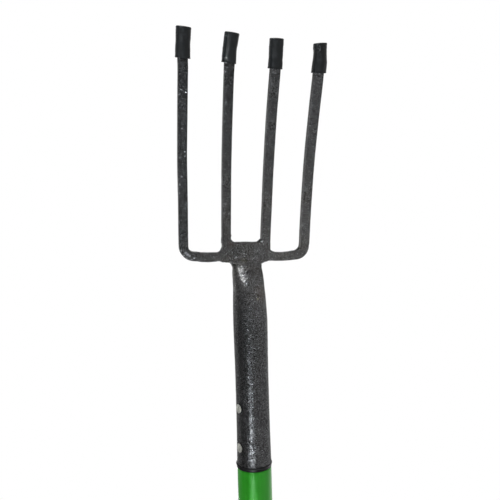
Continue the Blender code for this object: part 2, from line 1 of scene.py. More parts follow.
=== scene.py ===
# Border fork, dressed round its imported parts: hammered grey head, dipped vinyl caps,
# green sleeved shaft and moulded grip, lit softly against white
from math import atan2, copysign, cos, exp, hypot, pi, radians, sin, sqrt, tan
import bpy
import bmesh
from mathutils import Matrix, Vector, noise


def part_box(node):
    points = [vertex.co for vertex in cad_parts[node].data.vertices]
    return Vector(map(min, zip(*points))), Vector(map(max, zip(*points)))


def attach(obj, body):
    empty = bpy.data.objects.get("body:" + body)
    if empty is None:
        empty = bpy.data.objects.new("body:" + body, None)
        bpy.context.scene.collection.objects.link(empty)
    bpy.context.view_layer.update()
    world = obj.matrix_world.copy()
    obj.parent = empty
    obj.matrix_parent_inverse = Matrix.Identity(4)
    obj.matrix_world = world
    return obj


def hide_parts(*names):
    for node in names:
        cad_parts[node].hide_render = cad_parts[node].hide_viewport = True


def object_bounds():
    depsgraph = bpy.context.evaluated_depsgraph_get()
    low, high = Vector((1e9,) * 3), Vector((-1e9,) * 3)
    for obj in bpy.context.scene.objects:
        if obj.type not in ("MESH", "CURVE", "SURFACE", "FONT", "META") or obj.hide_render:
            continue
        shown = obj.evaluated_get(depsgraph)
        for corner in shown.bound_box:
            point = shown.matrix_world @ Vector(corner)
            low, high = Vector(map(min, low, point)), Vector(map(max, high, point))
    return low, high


mm = 0.001
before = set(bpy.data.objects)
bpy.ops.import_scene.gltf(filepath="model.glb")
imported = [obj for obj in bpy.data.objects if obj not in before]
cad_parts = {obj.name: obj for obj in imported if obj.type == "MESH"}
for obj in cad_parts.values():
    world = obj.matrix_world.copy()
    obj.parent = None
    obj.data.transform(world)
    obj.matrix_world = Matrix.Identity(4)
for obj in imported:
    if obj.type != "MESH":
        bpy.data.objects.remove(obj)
cadLow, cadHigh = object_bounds()
print("frame loaded:", len(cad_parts), "nodes")


# Small helpers for numbers and names
def lengths(**values):
    return {name: value * mm for name, value in values.items()}  # settings written in millimetres


def ease(share):
    share = max(0, min(1, share))
    return share * share * (3 - 2 * share)


def between(first, second, share):
    return first + (second - first) * share


def steps(first, last, count):
    return [between(first, last, step / count) for step in range(count + 1)]


def alongList(values, share):
    spot = max(0, min(1, share)) * (len(values) - 1)
    index = min(int(spot), len(values) - 2)
    return between(values[index], values[index + 1], ease(spot - index))


def wobble(place, cellSize, shift=0):
    return noise.noise(Vector(place) / cellSize + Vector((shift, shift, shift)))  # from -1 to 1


def bell(far, width):
    return exp(-((far / width) ** 2))


def quarterArc(edge, count):
    angles = steps(0, pi / 2, count)
    return [(edge * sin(angle), edge * (1 - cos(angle))) for angle in angles]


def circle(count):
    turns = [2 * pi * step / count for step in range(count)]
    return [(cos(turn), sin(turn)) for turn in turns]


def pieceName(start, key):  # tine and outer_left give tineOuterLeft
    return start + "".join(word.capitalize() for word in key.split("_"))


# Helpers for meshes: rings are lofted into a closed skin, then pressed, roughened and joined
sharpAngle = radians(60)  # edges over this stay crisp


def addPiece(name, work, finish):
    bmesh.ops.recalc_face_normals(work, faces=work.faces)
    mesh = bpy.data.meshes.new(name)
    work.to_mesh(mesh)
    work.free()
    mesh.materials.append(finish)
    mesh.shade_smooth()
    mesh.set_sharp_from_angle(angle=sharpAngle)
    piece = bpy.data.objects.new(name, mesh)
    bpy.context.scene.collection.objects.link(piece)
    return piece


def settle(piece, body, slotName, *nodes):
    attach(piece, body)
    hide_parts(*nodes)


def addFixed(name, work, finish, slotName, node):
    settle(addPiece(name, work, finish), "fork", slotName, node)


def loftWork(rings, closedPath=False):
    work = bmesh.new()
    rows = [[work.verts.new(point) for point in ring] for ring in rings]
    pairs = list(zip(rows, rows[1:]))
    if closedPath:
        pairs.append((rows[-1], rows[0]))
    for row, after in pairs:
        for step in range(len(row)):
            nextStep = (step + 1) % len(row)
            work.faces.new((row[step], row[nextStep], after[nextStep], after[step]))
    if not closedPath:
        work.faces.new(rows[0])
        work.faces.new(rows[-1])
    return work


def outline(halfX, halfY, corner, count, cornerWeight=4):
    corner = min(corner, halfX, halfY)  # points round a rounded rectangle, closer round its corners
    arc = corner * pi / 2 * cornerWeight
    quarterLength = halfX + halfY - 2 * corner + arc
    points = []
    for step in range(count):
        quarter = int(4 * step / count)
        reach = (4 * step / count - quarter) * quarterLength
        sideX, sideY = (halfX, halfY) if quarter % 2 == 0 else (halfY, halfX)
        rise = sideY - corner
        if reach < rise:
            x, y = sideX, reach
        elif reach < rise + arc:
            angle = (reach - rise) / (corner * cornerWeight)
            x = sideX - corner + corner * cos(angle)
            y = rise + corner * sin(angle)
        else:
            x, y = quarterLength - reach, sideY
        turn = quarter * pi / 2
        points.append((x * cos(turn) - y * sin(turn), x * sin(turn) + y * cos(turn)))
    return points


def turnedRings(profile, segments):
    turns = circle(segments)
    return [[Vector((radius * x, radius * y, height)) for x, y in turns] for radius, height in profile]


def roundedRim(radius, edge, height, upward):
    return [(radius - drop, height - upward * (edge - reach)) for reach, drop in quarterArc(edge, 6)]


def freshNormals(work):
    bmesh.ops.recalc_face_normals(work, faces=work.faces)
    work.normal_update()


def pressMarks(work, marks):  # marks are (place, size, height) in millimetres, dents below 0
    freshNormals(work)
    marks = [(Vector(place) * mm, size * mm, height * mm) for place, size, height in marks]
    moves = []
    for vertex in work.verts:
        push = 0
        for place, size, height in marks:
            far = (vertex.co - place).length
            if far < 3 * size:
                push += height * bell(far, size)
        if push:
            moves.append((vertex, vertex.normal * push))
    for vertex, move in moves:
        vertex.co += move


def roughen(work, waves, depthAt):  # waves are (share, size in millimetres, shift)
    for vertex in work.verts:
        push = sum(share * wobble(vertex.co, size * mm, shift) for share, size, shift in waves)
        vertex.co += vertex.normal * push * depthAt(vertex.co)


def joinWork(first, second):
    spare = bpy.data.meshes.new("spare")
    second.to_mesh(spare)
    second.free()
    first.from_mesh(spare)
    bpy.data.meshes.remove(spare)
    return first


# Helpers for shader nodes: a socket is given a value, or another node's output to link
black, white = (0, 0, 0, 1), (1, 1, 1, 1)
cloudSpan, sumSpan = (0.3, 0.7), (0.75, 1.25)  # where one cloud field, and the sum of two, mostly lie
spotCore = 0.3  # the inner share of a stain or worn spot that is at full strength


def addNode(tree, kind, sockets, **fields):
    made = tree.nodes.new(kind)
    for name, value in fields.items():
        setattr(made, name, value)
    for name, value in sockets.items():
        if isinstance(value, bpy.types.NodeSocket):
            tree.links.new(value, made.inputs[name])
        else:
            made.inputs[name].default_value = value
    return made


def calc(tree, operation, *values):
    total = values[0]
    for value in values[1:]:
        total = addNode(tree, "ShaderNodeMath", {0: total, 1: value}, operation=operation).outputs[0]
    return total


def times(tree, *values):
    return calc(tree, "MULTIPLY", *values)


def vectorCalc(tree, operation, first, second=(0, 0, 0), output="Vector"):
    return addNode(tree, "ShaderNodeVectorMath", {0: first, 1: second}, operation=operation).outputs[output]


def remap(tree, value, low, high, toLow, toHigh):
    sockets = {"Value": value, "From Min": low, "From Max": high, "To Min": toLow, "To Max": toHigh}
    return addNode(tree, "ShaderNodeMapRange", sockets).outputs[0]


def axesOf(tree, vector):
    return addNode(tree, "ShaderNodeSeparateXYZ", {"Vector": vector}).outputs


def fades(tree, axes, *rows):  # a product of rows of axis, from, to, value up to there, value from here
    return times(tree, *[remap(tree, axes[axis], *row) for axis, *row in rows])


def blendColours(tree, share, first, second):
    return addNode(tree, "ShaderNodeMix", {0: share, 6: first, 7: second}, data_type="RGBA").outputs[2]


def nearPlace(tree, place, spot, size):
    away = vectorCalc(tree, "DISTANCE", place, Vector(spot) * mm, "Value")
    return remap(tree, away, size * mm, size * mm * spotCore, 0, 1)


def cloudField(tree, place, scale, detail):
    sockets = {"Vector": place, "Scale": scale, "Detail": detail}
    return addNode(tree, "ShaderNodeTexNoise", sockets).outputs["Fac"]


def cellField(tree, place, scale):
    return addNode(tree, "ShaderNodeTexVoronoi", {"Vector": place, "Scale": scale}, feature="F1").outputs


def stretched(tree, place, share):
    return addNode(tree, "ShaderNodeMapping", {"Vector": place, "Scale": (1, 1, share)}).outputs[0]


def startFinish(name, shaderValues):
    finish = bpy.data.materials.new(name)
    finish.use_nodes = True
    tree = finish.node_tree
    shader = tree.nodes["Principled BSDF"]
    for socket, value in shaderValues.items():
        shader.inputs[socket].default_value = value
    place = tree.nodes.new("ShaderNodeTexCoord").outputs["Object"]
    return finish, tree, shader, place


def coat(tree, shader, colour, roughness, height, strength, depth):
    bump = addNode(tree, "ShaderNodeBump", {"Height": height, "Strength": strength, "Distance": depth})
    tree.links.new(colour, shader.inputs["Base Color"])
    tree.links.new(roughness, shader.inputs["Roughness"])
    tree.links.new(bump.outputs["Normal"], shader.inputs["Normal"])


# Hammered grey paint: shallow pits between paler ridges, fine grain, a few stains, painted highlights and
# painted shade.
# Rows that start with an axis say where colour, painted shade or relief changes, in metres from the crown.
paintSettings = {
    "pit": (0.008, 0.008, 0.009, 1),
    "ridge": (0.214, 0.215, 0.218, 1),
    "warm": (0.122, 0.111, 0.094, 1),
    "olive": (0.250, 0.245, 0.175, 1),
    "brown": (0.105, 0.074, 0.052, 1),
    "spark": (0.62, 0.64, 0.68, 1),
    "shader": {"Metallic": 0.75, "Specular IOR Level": 0.25, "Specular Tint": (0.42, 0.42, 0.42, 1)},
    "cellScale": 790,
    "cellSoftness": 0.45,
    "cellSpan": (0.16, 0.62),
    "cellDepth": 0.00029,
    "grainScale": 900,
    "grainShare": 0.60,
    "toneBend": 1.25,
    "patchScale": 42,
    "patchWarmth": (0.36, 0.72, 0.10, 0.45),
    "roughness": (0.20, 0.30),
    "warmWhere": (
        ("Z", -0.05, -0.01, 0, 1), ("Z", 0.03, 0.12, 1, 0), ("X", -0.06, -0.03, 0, 1),
    ),
    "shadeAcross": ("X", -0.02, 0.02, 0.53, 0.77),
    "shadeUp": ("Z", 0.03, 0.18, 1, 0.5),
    "shadeWhere": (
        ("X", -0.04, 0.03, 0.76, 0.97), ("Z", -0.07, -0.035, 0.69, 1), ("Z", -0.16, -0.10, 1.12, 1),
    ),
    "darkerBars": (("Z", 0.016, 0.032, 0, 0.13), ("X", 0.03, 0.05, 1, 0)),
    "darkerLeft": (("X", -0.060, -0.036, 1, 0), ("Z", 0.03, 0.18, 0.26, 0.05)),
    # where the highlight streak on the neck gets painted sparkle
    "streakWhere": (
        ("X", -0.012, -0.009, 0, 1), ("X", -0.001, 0.002, 1, 0),
        ("Z", -0.020, -0.014, 0, 1), ("Z", -0.005, -0.003, 1, 0),
    ),
    "streakSparkle": (("spark", 0.55, 0.70, 0, 0.10), ("pit", 0.38, 0.50, 0.80, 0)),
    "flakeScale": 330,
    "flakeSize": (0.16, 0.26, 1, 0),
    "flakePick": (0.86, 0.90, 0, 1),
    "flakeWhere": ("X", -0.046, -0.034, 0.75, 0.10),  # the left bar sparkles most
    "cellRise": 0.5,
    "reliefWhere": ("X", -0.035, -0.014, 1.6, 1),
    "calmWhere": (
        ("Z", -0.006, -0.001, 0, 0.35), ("Z", 0.020, 0.030, 1, 0), ("X", -0.028, -0.020, 0, 1),
    ),
    "highlightTone": (0.15, 0.65, 0.15),
    "worn": (  # painted highlights, pale spots at the glints on the left bend, feet, welds and neck: place, size and strength, places and sizes in millimetres
        ((-63.2, 7.2, 9.6), 1.9, 0.85),
        ((-61.2, 7.2, 8.2), 2.1, 0.80),
        ((-59, 7.2, 6.8), 1.6, 0.55),
        ((-66.6, 7.2, 13.4), 1.4, 0.45),
        ((16.2, 5.3, 19.7), 1.3, 0.75),
        ((17.2, 5.3, 20.9), 1, 0.60),
        ((24.4, 7.3, 8.4), 0.9, 0.70),
        ((-21.5, 7.3, 7.7), 1.1, 0.45),
        ((-19.4, 7.3, 5.2), 0.9, 0.35),
        ((-17.8, 8, 2.9), 1, 0.35),
        ((-15.8, 7.5, -0.7), 1.1, 0.35),
        ((-11.7, 7.8, 3.8), 1.6, 0.60),
        ((-9.2, 7.6, -0.4), 1.2, 0.70),
        ((-8, 6, -3.2), 1.2, 0.60),
    ),
    "stainsAndSheen": (
        # the first olive patch is partly a painted highlight: the soft lighter patch above the neck streak
        ("olive", (-3.5, 8, 0), 4.5, 0.22),
        ("olive", (4.2, -15.3, -37.9), 1.7, 1),
        ("brown", (9.5, -10.5, -33), 12, 0.25),
        ("brown", (-16.7, 6.5, 17), 6, 0.20),
    ),
}


# Painted shade: the coat darker on the tops of the tines, on the left, on the bars and down the neck and
# socket, a little less so low on the socket
def paintShade(tree, axes):
    own = paintSettings
    upper = calc(tree, "MAXIMUM", fades(tree, axes, own["shadeAcross"]), fades(tree, axes, own["shadeUp"]))
    shade = times(tree, upper, fades(tree, axes, *own["shadeWhere"]))
    for rows in (own["darkerBars"], own["darkerLeft"]):
        shade = times(tree, shade, calc(tree, "SUBTRACT", 1, fades(tree, axes, *rows)))
    return shade


def paintRelief(tree, place, axes, cells):
    own = paintSettings
    facets = cellField(tree, place, own["cellScale"])
    inside = vectorCalc(tree, "SUBTRACT", place, facets["Position"])
    lean = vectorCalc(tree, "SUBTRACT", facets["Color"], (0.5, 0.5, 0.5))
    tilt = vectorCalc(tree, "DOT_PRODUCT", inside, lean, "Value")
    tilt = times(tree, tilt, own["cellScale"])  # each facet leans its own way
    relief = calc(tree, "ADD", times(tree, cells, own["cellRise"]), tilt)
    strength, calm = fades(tree, axes, own["reliefWhere"]), fades(tree, axes, *own["calmWhere"])
    return times(tree, relief, calc(tree, "SUBTRACT", strength, calm))


def makePaint():
    own = paintSettings
    finish, tree, shader, place = startFinish("hammeredGreyPaint", own["shader"])
    axes = axesOf(tree, place)
    sockets = {"Vector": place, "Scale": own["cellScale"], "Smoothness": own["cellSoftness"]}
    cells = addNode(tree, "ShaderNodeTexVoronoi", sockets, feature="SMOOTH_F1").outputs["Distance"]
    specks = cellField(tree, place, own["grainScale"])
    grain = addNode(tree, "ShaderNodeSeparateColor", {"Color": specks["Color"]}).outputs["Green"]
    patches = cloudField(tree, place, own["patchScale"], 4)
    ridges = times(tree, remap(tree, cells, *own["cellSpan"], 0, 1), 1 - own["grainShare"])
    tone = calc(tree, "ADD", ridges, times(tree, grain, own["grainShare"]))
    colour = blendColours(tree, calc(tree, "POWER", tone, own["toneBend"]), own["pit"], own["ridge"])
    warmth = remap(tree, patches, *own["patchWarmth"])
    warmth = times(tree, warmth, fades(tree, axes, *own["warmWhere"]))
    colour = blendColours(tree, warmth, colour, own["warm"])
    # painted shade blended over the coat
    colour = blendColours(tree, paintShade(tree, axes), black, colour)
    # stains, the first one partly a painted highlight
    for name, spot, size, strength in own["stainsAndSheen"]:
        share = times(tree, nearPlace(tree, place, spot, size), strength)
        colour = blendColours(tree, share, colour, own[name])
    # painted highlights: pale spots blended into the coat at its glints
    for spot, size, strength in own["worn"]:
        share = remap(tree, tone, *own["highlightTone"], strength)
        share = times(tree, nearPlace(tree, place, spot, size), share)
        colour = blendColours(tree, share, colour, own["spark"])
    neck = fades(tree, axes, *own["streakWhere"])
    for name, *tones in own["streakSparkle"]:  # painted sparkle: pale and dark specks over the highlight streak on the neck
        share = times(tree, neck, remap(tree, tone, *tones))
        colour = blendColours(tree, share, colour, own[name])
    flakes = cellField(tree, place, own["flakeScale"])
    pick = addNode(tree, "ShaderNodeSeparateColor", {"Color": flakes["Color"]}).outputs["Red"]
    flake = times(tree, remap(tree, pick, *own["flakePick"]), fades(tree, axes, own["flakeWhere"]))
    flake = times(tree, flake, remap(tree, flakes["Distance"], *own["flakeSize"]))
    colour = blendColours(tree, flake, colour, own["spark"])
    relief = paintRelief(tree, place, axes, cells)
    roughness = remap(tree, patches, *cloudSpan, *own["roughness"])
    coat(tree, shader, colour, roughness, relief, 1, own["cellDepth"])
    return finish


# Soft black vinyl of the tip caps: satin, with a faint drag along its length
vinylSettings = {
    "shader": {"IOR": 1.36, "Specular IOR Level": 0.45},
    "dark": (0.0060, 0.0074, 0.0082, 1),
    "light": (0.0120, 0.0140, 0.0155, 1),
    "dragScale": 900,
    "dragStretch": 0.12,
    "cloudScale": 160,
    "cloudHeight": 1.5,
    "toneSpan": (0.35, 0.70),
    "bump": 0.35,
    "depth": 0.00012,
}


def makeVinyl(name, roughness):
    own = vinylSettings
    finish, tree, shader, place = startFinish(name, own["shader"])
    drag = cloudField(tree, stretched(tree, place, own["dragStretch"]), own["dragScale"], 3)
    clouds = cloudField(tree, place, own["cloudScale"], 4)
    colour = blendColours(tree, remap(tree, clouds, *own["toneSpan"], 0, 1), own["dark"], own["light"])
    height = calc(tree, "ADD", drag, times(tree, clouds, own["cloudHeight"]))
    coat(tree, shader, colour, remap(tree, clouds, *cloudSpan, *roughness), height, own["bump"], own["depth"])
    return finish


# The plainer finishes share one recipe: two tones, a grain and a roughness range
plainFinishes = {
    "greenSleevePlastic": {  # glossy, with streaks from its extrusion
        "tones": ((0.020, 0.350, 0.008, 1), (0.032, 0.412, 0.017, 1)),
        "grain": (420, 0.03, 3), "clouds": 55, "roughness": (0.40, 0.46), "bump": (0.10, 0.00010),
        "shader": {"Specular IOR Level": 0.36},
    },
    "collarBlack": {
        "tones": ((0.0050, 0.0050, 0.0054, 1), (0.0090, 0.0090, 0.0096, 1)),
        "grain": (900, 1, 4), "clouds": 75, "roughness": (0.40, 0.52), "bump": (0.20, 0.00008),
        "shader": {"Specular IOR Level": 0.16},
    },
    "rivetMetal": {
        "tones": ((0.15, 0.15, 0.135, 1), (0.78, 0.78, 0.71, 1)),
        "grain": (700, 1, 4), "clouds": 58.333, "roughness": (0.36, 0.55), "bump": (0.35, 0.00010),
        "shader": {"Metallic": 0.55, "Specular IOR Level": 0.4},
    },
    "tubeSteel": {
        "tones": ((0.38, 0.39, 0.40, 1), (0.48, 0.49, 0.50, 1)),
        "grain": (700, 1, 4), "clouds": 58.333, "roughness": (0.26, 0.40), "bump": (0.15, 0.00005),
        "shader": {"Metallic": 1},
    },
    "gripPlastic": {
        "tones": ((0.0095, 0.0098, 0.0100, 1), (0.0150, 0.0152, 0.0158, 1)),
        "grain": (1500, 1, 4), "clouds": 125, "roughness": (0.36, 0.50), "bump": (0.35, 0.00010),
        "shader": {"Specular IOR Level": 0.35},
    },
    "gripRubber": {
        "tones": ((0.0150, 0.0155, 0.0160, 1), (0.0240, 0.0245, 0.0250, 1)),
        "grain": (1100, 1, 4), "clouds": 91.667, "roughness": (0.58, 0.72), "bump": (0.50, 0.00014),
        "shader": {"Specular IOR Level": 0.25},
    },
}


def makePlain(name):
    own = plainFinishes[name]
    finish, tree, shader, place = startFinish(name, own["shader"])
    scale, stretch, detail = own["grain"]
    grain = cloudField(tree, stretched(tree, place, stretch), scale, detail)
    clouds = cloudField(tree, place, own["clouds"], 3)
    tone = remap(tree, calc(tree, "ADD", grain, clouds), *sumSpan, 0, 1)
    roughness = remap(tree, clouds, *cloudSpan, *own["roughness"])
    coat(tree, shader, blendColours(tree, tone, *own["tones"]), roughness, grain, *own["bump"])
    return finish


headPaint = makePaint()
capVinyl, glossyVinyl = makeVinyl("blackVinyl", (0.36, 0.46)), makeVinyl("glossyVinyl", (0.28, 0.36))
plain = {name: makePlain(name) for name in plainFinishes}
print("finishes made")

# The head's own curve, shared by crown, tines, welds and caps
headCurve = {
    "lean": radians(7.55),
    **lengths(radius=715, setback=12.9, barWidth=9.1, barThickness=9.9, barCorner=1.4),
    **lengths(crownHalfWidth=25.7, crownHeight=19.7),
}
barCorner, crownTop = headCurve["barCorner"], headCurve["crownHeight"]
crownHalf = headCurve["crownHalfWidth"]
barHalfWidth, barHalfThickness = headCurve["barWidth"] / 2, headCurve["barThickness"] / 2


def onHead(x, along, out, straightFrom=crownTop):
    lean, radius = headCurve["lean"], headCurve["radius"]
    curved = min(along, straightFrom)  # past this the bar runs straight, so that its cap can slide off
    angle = lean + curved / radius
    y = headCurve["setback"] - radius * (cos(lean) - cos(angle))
    y += out * cos(angle) - (along - curved) * sin(angle)
    z = radius * (sin(angle) - sin(lean))
    z += out * sin(angle) + (along - curved) * cos(angle)
    return Vector((x, y, z))


def addToHead(name, work, node):
    addFixed(name, work, headPaint, "hammered_grey_paint", node)


# Forging: flat crown, flared neck and round socket, bored from its mouth
forging = {
    "points": 176,
    **lengths(shoulderDrop=60, shoulderSwell=0.6, socketWall=2.5, boreGap=0.3, boreLength=156),
    **lengths(mouthFlare=0.4, mouthSpan=40, mouthLip=0.45, lipSpan=5, mouthLower=0.8, mouthEdge=0.5),
    **lengths(neckDrop=6.5, filletDepth=8, leftFillet=7, crownBlend=3, crownEdge=0.9, leftIn=0.8),
    **lengths(cornerLift=1.6, cornerFrom=20, cornerSpan=3),  # the lower left corner is rounded off
    "left": {"neck": 13.9 * mm, "power": 2.1},
    "right": {"neck": 15 * mm, "power": 1},
    "rightSlope": {"power": 1.15, **lengths(depth=3.4, reach=9.6, end=7, corner=0.9)},
    "roundStart": 0.15,
    "frontPower": 2.1,
    **lengths(roundSpan=36, frontSpan=5.5, crownUneven=0.22, tubeUneven=0.05),
    **lengths(unevenTo=-30, unevenFrom=-60, unevenSpan=50),  # heights where the skin turns uneven
    "waves": ((1, 9, 0), (0.5, 4, 7)),
    "marks": (
        ((-11.7, 7.8, 3.8), 1.8, 0.40), ((-5.2, 7, -2.6), 5.2, 1.3), ((13.6, 7.5, -0.7), 1.3, -0.55),
    ),
}
socketEnd = -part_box("head_socket")[0].z + forging["mouthLower"]
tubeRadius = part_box("shaft_tube")[1].x
boreRadius = tubeRadius + forging["boreGap"]


def socketRadius(drop):
    own = forging
    swell = own["shoulderSwell"] * (1 - ease((drop - own["shoulderDrop"]) / own["shoulderDrop"]))
    flare = own["mouthFlare"] * ease((drop - socketEnd + own["mouthSpan"]) / own["mouthSpan"])
    flare += own["mouthLip"] * max(0, 1 - (socketEnd - drop) / own["lipSpan"]) ** 2
    return tubeRadius + own["socketWall"] + swell + flare


def neckSideWidth(drop, own):
    shoulder, neck = forging["shoulderDrop"], forging["neckDrop"]
    reach = max(0, (drop - neck) / (shoulder - neck))
    wide = between(socketRadius(shoulder), own["neck"], (1 - min(1, reach)) ** own["power"])
    drop = max(0, drop)
    if own is forging["left"] and drop < forging["filletDepth"]:  # a round fillet on this side
        rest = 1 - drop / forging["filletDepth"]
        wide += forging["leftFillet"] * (1 - sqrt(1 - rest * rest))
    if own is forging["right"]:  # and a slope that ends in a tight corner on this one
        slope = forging["rightSlope"]
        wide += slope["reach"] * max(0, 1 - drop / slope["depth"]) ** slope["power"]
        wide += slope["corner"] * max(0, 1 - (drop / slope["end"]) ** 2)
    return wide


def neckRing(drop):
    own = forging
    shoulder, setback = socketRadius(own["shoulderDrop"]), headCurve["setback"]
    rise = (own["shoulderDrop"] - drop) / (own["shoulderDrop"] + own["crownBlend"])
    front = between(-shoulder, setback - barHalfThickness, ease(rise ** own["frontPower"]))
    back = between(shoulder, setback + barHalfThickness, ease(rise))
    left, right = neckSideWidth(drop, own["left"]), neckSideWidth(drop, own["right"])
    wide, halfY = max(left, right), (back - front) / 2
    roundness = ease(own["roundStart"] + drop / own["roundSpan"])
    frontRound = ease(drop / own["frontSpan"])
    ring = []
    for x, y in outline(wide, halfY, between(barCorner, min(wide, halfY), roundness), own["points"]):
        if x < 0 and y < 0:
            angle = atan2(y / halfY, x / wide)
            x = between(x, wide * cos(angle), frontRound)
            y = between(y, halfY * sin(angle), frontRound)
        x *= (right if x > 0 else left) / wide
        ring.append(Vector((x, (front + back) / 2 + y, -drop)))
    return ring


def crownRing(along, inset):
    own = forging
    halfX = crownHalf - inset
    ring = []
    for x, out in outline(halfX, barHalfThickness - inset, barCorner, own["points"]):
        x += own["leftIn"] * ease(-x / halfX * 2 - 1)
        lift = own["cornerLift"] * ease((-x - own["cornerFrom"]) / own["cornerSpan"])
        ring.append(onHead(x, max(along, lift), out))
    return ring


def forgingDepth(place):  # the bore stays true, the crown is the most uneven
    own = forging
    if hypot(place.x, place.y) <= boreRadius + own["socketWall"] / 2 and place.z <= own["unevenTo"]:
        return 0
    share = ease((place.z - own["unevenFrom"]) / own["unevenSpan"])
    return between(own["tubeUneven"], own["crownUneven"], share)


def makeForging():
    own = forging
    edge, rim = own["crownEdge"], own["mouthEdge"]
    fillet, shoulder = own["filletDepth"], own["shoulderDrop"]
    rings = [crownRing(crownTop - drop, edge - reach) for reach, drop in quarterArc(edge, 4)]
    rings += [crownRing(along, 0) for along in steps(crownTop - edge, own["crownBlend"] / 4, 16)[1:]]
    rings += [neckRing(fillet * share * share) for share in steps(0, 1, 14)[1:]]
    rings += [neckRing(drop) for drop in steps(fillet, shoulder, 44)[1:]]
    profile = [(socketRadius(drop), drop) for drop in steps(shoulder, socketEnd - rim, 60)[1:]]
    lip = roundedRim(socketRadius(socketEnd), rim, -socketEnd, -1)
    bore = [socketEnd] + steps(socketEnd - rim, socketEnd - own["boreLength"], 12)
    profile += [(radius, -height) for radius, height in lip] + [(boreRadius, drop) for drop in bore]
    for radius, drop in profile:
        rings.append([Vector((x, y, -drop)) for x, y in outline(radius, radius, radius, own["points"])])
    work = loftWork(rings)
    pressMarks(work, own["marks"])
    roughen(work, own["waves"], forgingDepth)
    addToHead("headForging", work, "head_socket")


makeForging()
print("forging made")

# Tines: square bars, the outer two bent up from arms. Rows of bow, below and above are in
# millimetres, from a bar's start to its end.
tines = {
    **lengths(tipLength=12, tipWidth=4, tipCorner=1, capCover=24.5, freeSpan=9),
    **lengths(armHeight=9.2, footSink=1, stationStep=1.6, bowFrom=20, bowSpan=170),
    **lengths(driftFrom=95, driftSpan=70, uneven=0.10, smoothBefore=12, smoothSpan=8),
    "tipPower": 1.4,
    "straightPart": 1.25,  # how many cap covers of each tine are straight
    "ringPoints": 48,
    "waves": ((0.6, 14, 3), (0.4, 5, 0)),
    "outer_left": {
        "side": -1, "spread": 0.0118, "bow": (-0.10, -0.28, 0.05, -0.05, -0.25),
        "below": (1.2, 0.50, 0.15, 0.55, 1.55), "above": (0.30, 0.30, 0.35, 0.70, 1.50),
        **lengths(baseX=64.3, reach=220.2, wider=0, drift=0.40, innerBend=7.9, outerBend=16.8),
    },
    "inner_left": {
        "side": -1, "spread": 0.0100, "bow": (-0.15, -0.17, 0, 0, 0.10),
        **lengths(baseX=20.8, reach=218.6, wider=-0.30, drift=0),
    },
    "inner_right": {
        "side": 1, "spread": 0.0086, "bow": (0, 0.36, 0.28, 0.08, 0.08),
        **lengths(baseX=20.8, reach=216.2, wider=0.15, drift=0),
    },
    "outer_right": {
        "side": 1, "spread": 0.0141, "bow": (0.10, 0.21, 0.19, 0.19, 0.19),
        "below": (-0.2, -0.50, -0.65, -0.40, 0.15), "above": (-0.7, -0.90, -1.25, -0.85, 0.10),
        **lengths(baseX=64.3, reach=215, wider=0.20, drift=-0.35, innerBend=6.8, outerBend=15.1),
    },
    "burr": {
        "deeper": 1.6, "ends": 0.96, "above": 1.15, "below": 0.9,
        **lengths(along=27, out=-2.6, height=1.5, width=0.75, stand=0.1),
    },
}


def straightFrom(own):
    return own["reach"] - tines["capCover"] * tines["straightPart"]


def barRing(inner, outer, halfThickness, corner, own):
    across = outer - inner
    halfWidth = across.length / 2
    across.normalize()
    middle = (inner + outer) / 2
    ring = []
    for u, v in outline(halfWidth, halfThickness, corner, tines["ringPoints"]):
        place = middle + across * u
        ring.append(onHead(own["side"] * place.x, place.y, v, straightFrom(own)))
    return ring


def tineRings(first, own):
    tipWidth = tines["tipWidth"]
    taperFrom = own["reach"] - tines["tipLength"]
    count = round((taperFrom - first) / tines["stationStep"])
    rings = []
    for along in steps(first, taperFrom, count) + steps(taperFrom, own["reach"], 8)[1:]:
        share = max(0, (along - taperFrom) / tines["tipLength"]) ** tines["tipPower"]
        free = ease((own["reach"] - tines["capCover"] - along) / tines["freeSpan"])
        halfWidth = between(headCurve["barWidth"] + own["wider"] * free, tipWidth, share) / 2
        halfThickness = between(headCurve["barThickness"], tipWidth, share) / 2
        drift = own["drift"] * (1 - ease((along - tines["driftFrom"]) / tines["driftSpan"]))
        drift += alongList(own["bow"], (along - tines["bowFrom"]) / tines["bowSpan"]) * mm * free
        middle = Vector((own["baseX"] + own["spread"] * along + drift, along))
        side = Vector((halfWidth, -halfWidth * own["spread"]))
        corner = between(barCorner, tines["tipCorner"], share)
        rings.append(barRing(middle - side, middle + side, halfThickness, corner, own))
    return rings


def finishBar(key, rings):
    own = tines[key]
    smoothFrom = own["reach"] - tines["capCover"] - tines["smoothBefore"]

    def barDepth(place):  # the part under the cap stays true
        return tines["uneven"] * (1 - ease((place.z - smoothFrom) / tines["smoothSpan"]))

    work = loftWork(rings)
    freshNormals(work)
    roughen(work, tines["waves"], barDepth)
    if key == "inner_left":
        work = joinWork(work, loftWork(burrRings(own)))
    addToHead(pieceName("tine", key), work, "tine_" + key)


def burrRings(own):
    burr = tines["burr"]
    edge = own["baseX"] + own["spread"] * burr["along"] - barHalfWidth + burr["stand"]
    rings = []
    for share in steps(-burr["ends"], burr["ends"], 10):
        size = burr["width"] * sqrt(1 - share * share) * (burr["above"] if share > 0 else burr["below"])
        along = burr["along"] + burr["height"] * share
        ring = []
        for x, out in circle(14):
            place = own["side"] * (edge + size * x), along, burr["out"] + burr["deeper"] * size * out
            ring.append(onHead(*place, straightFrom(own)))
        rings.append(ring)
    return rings


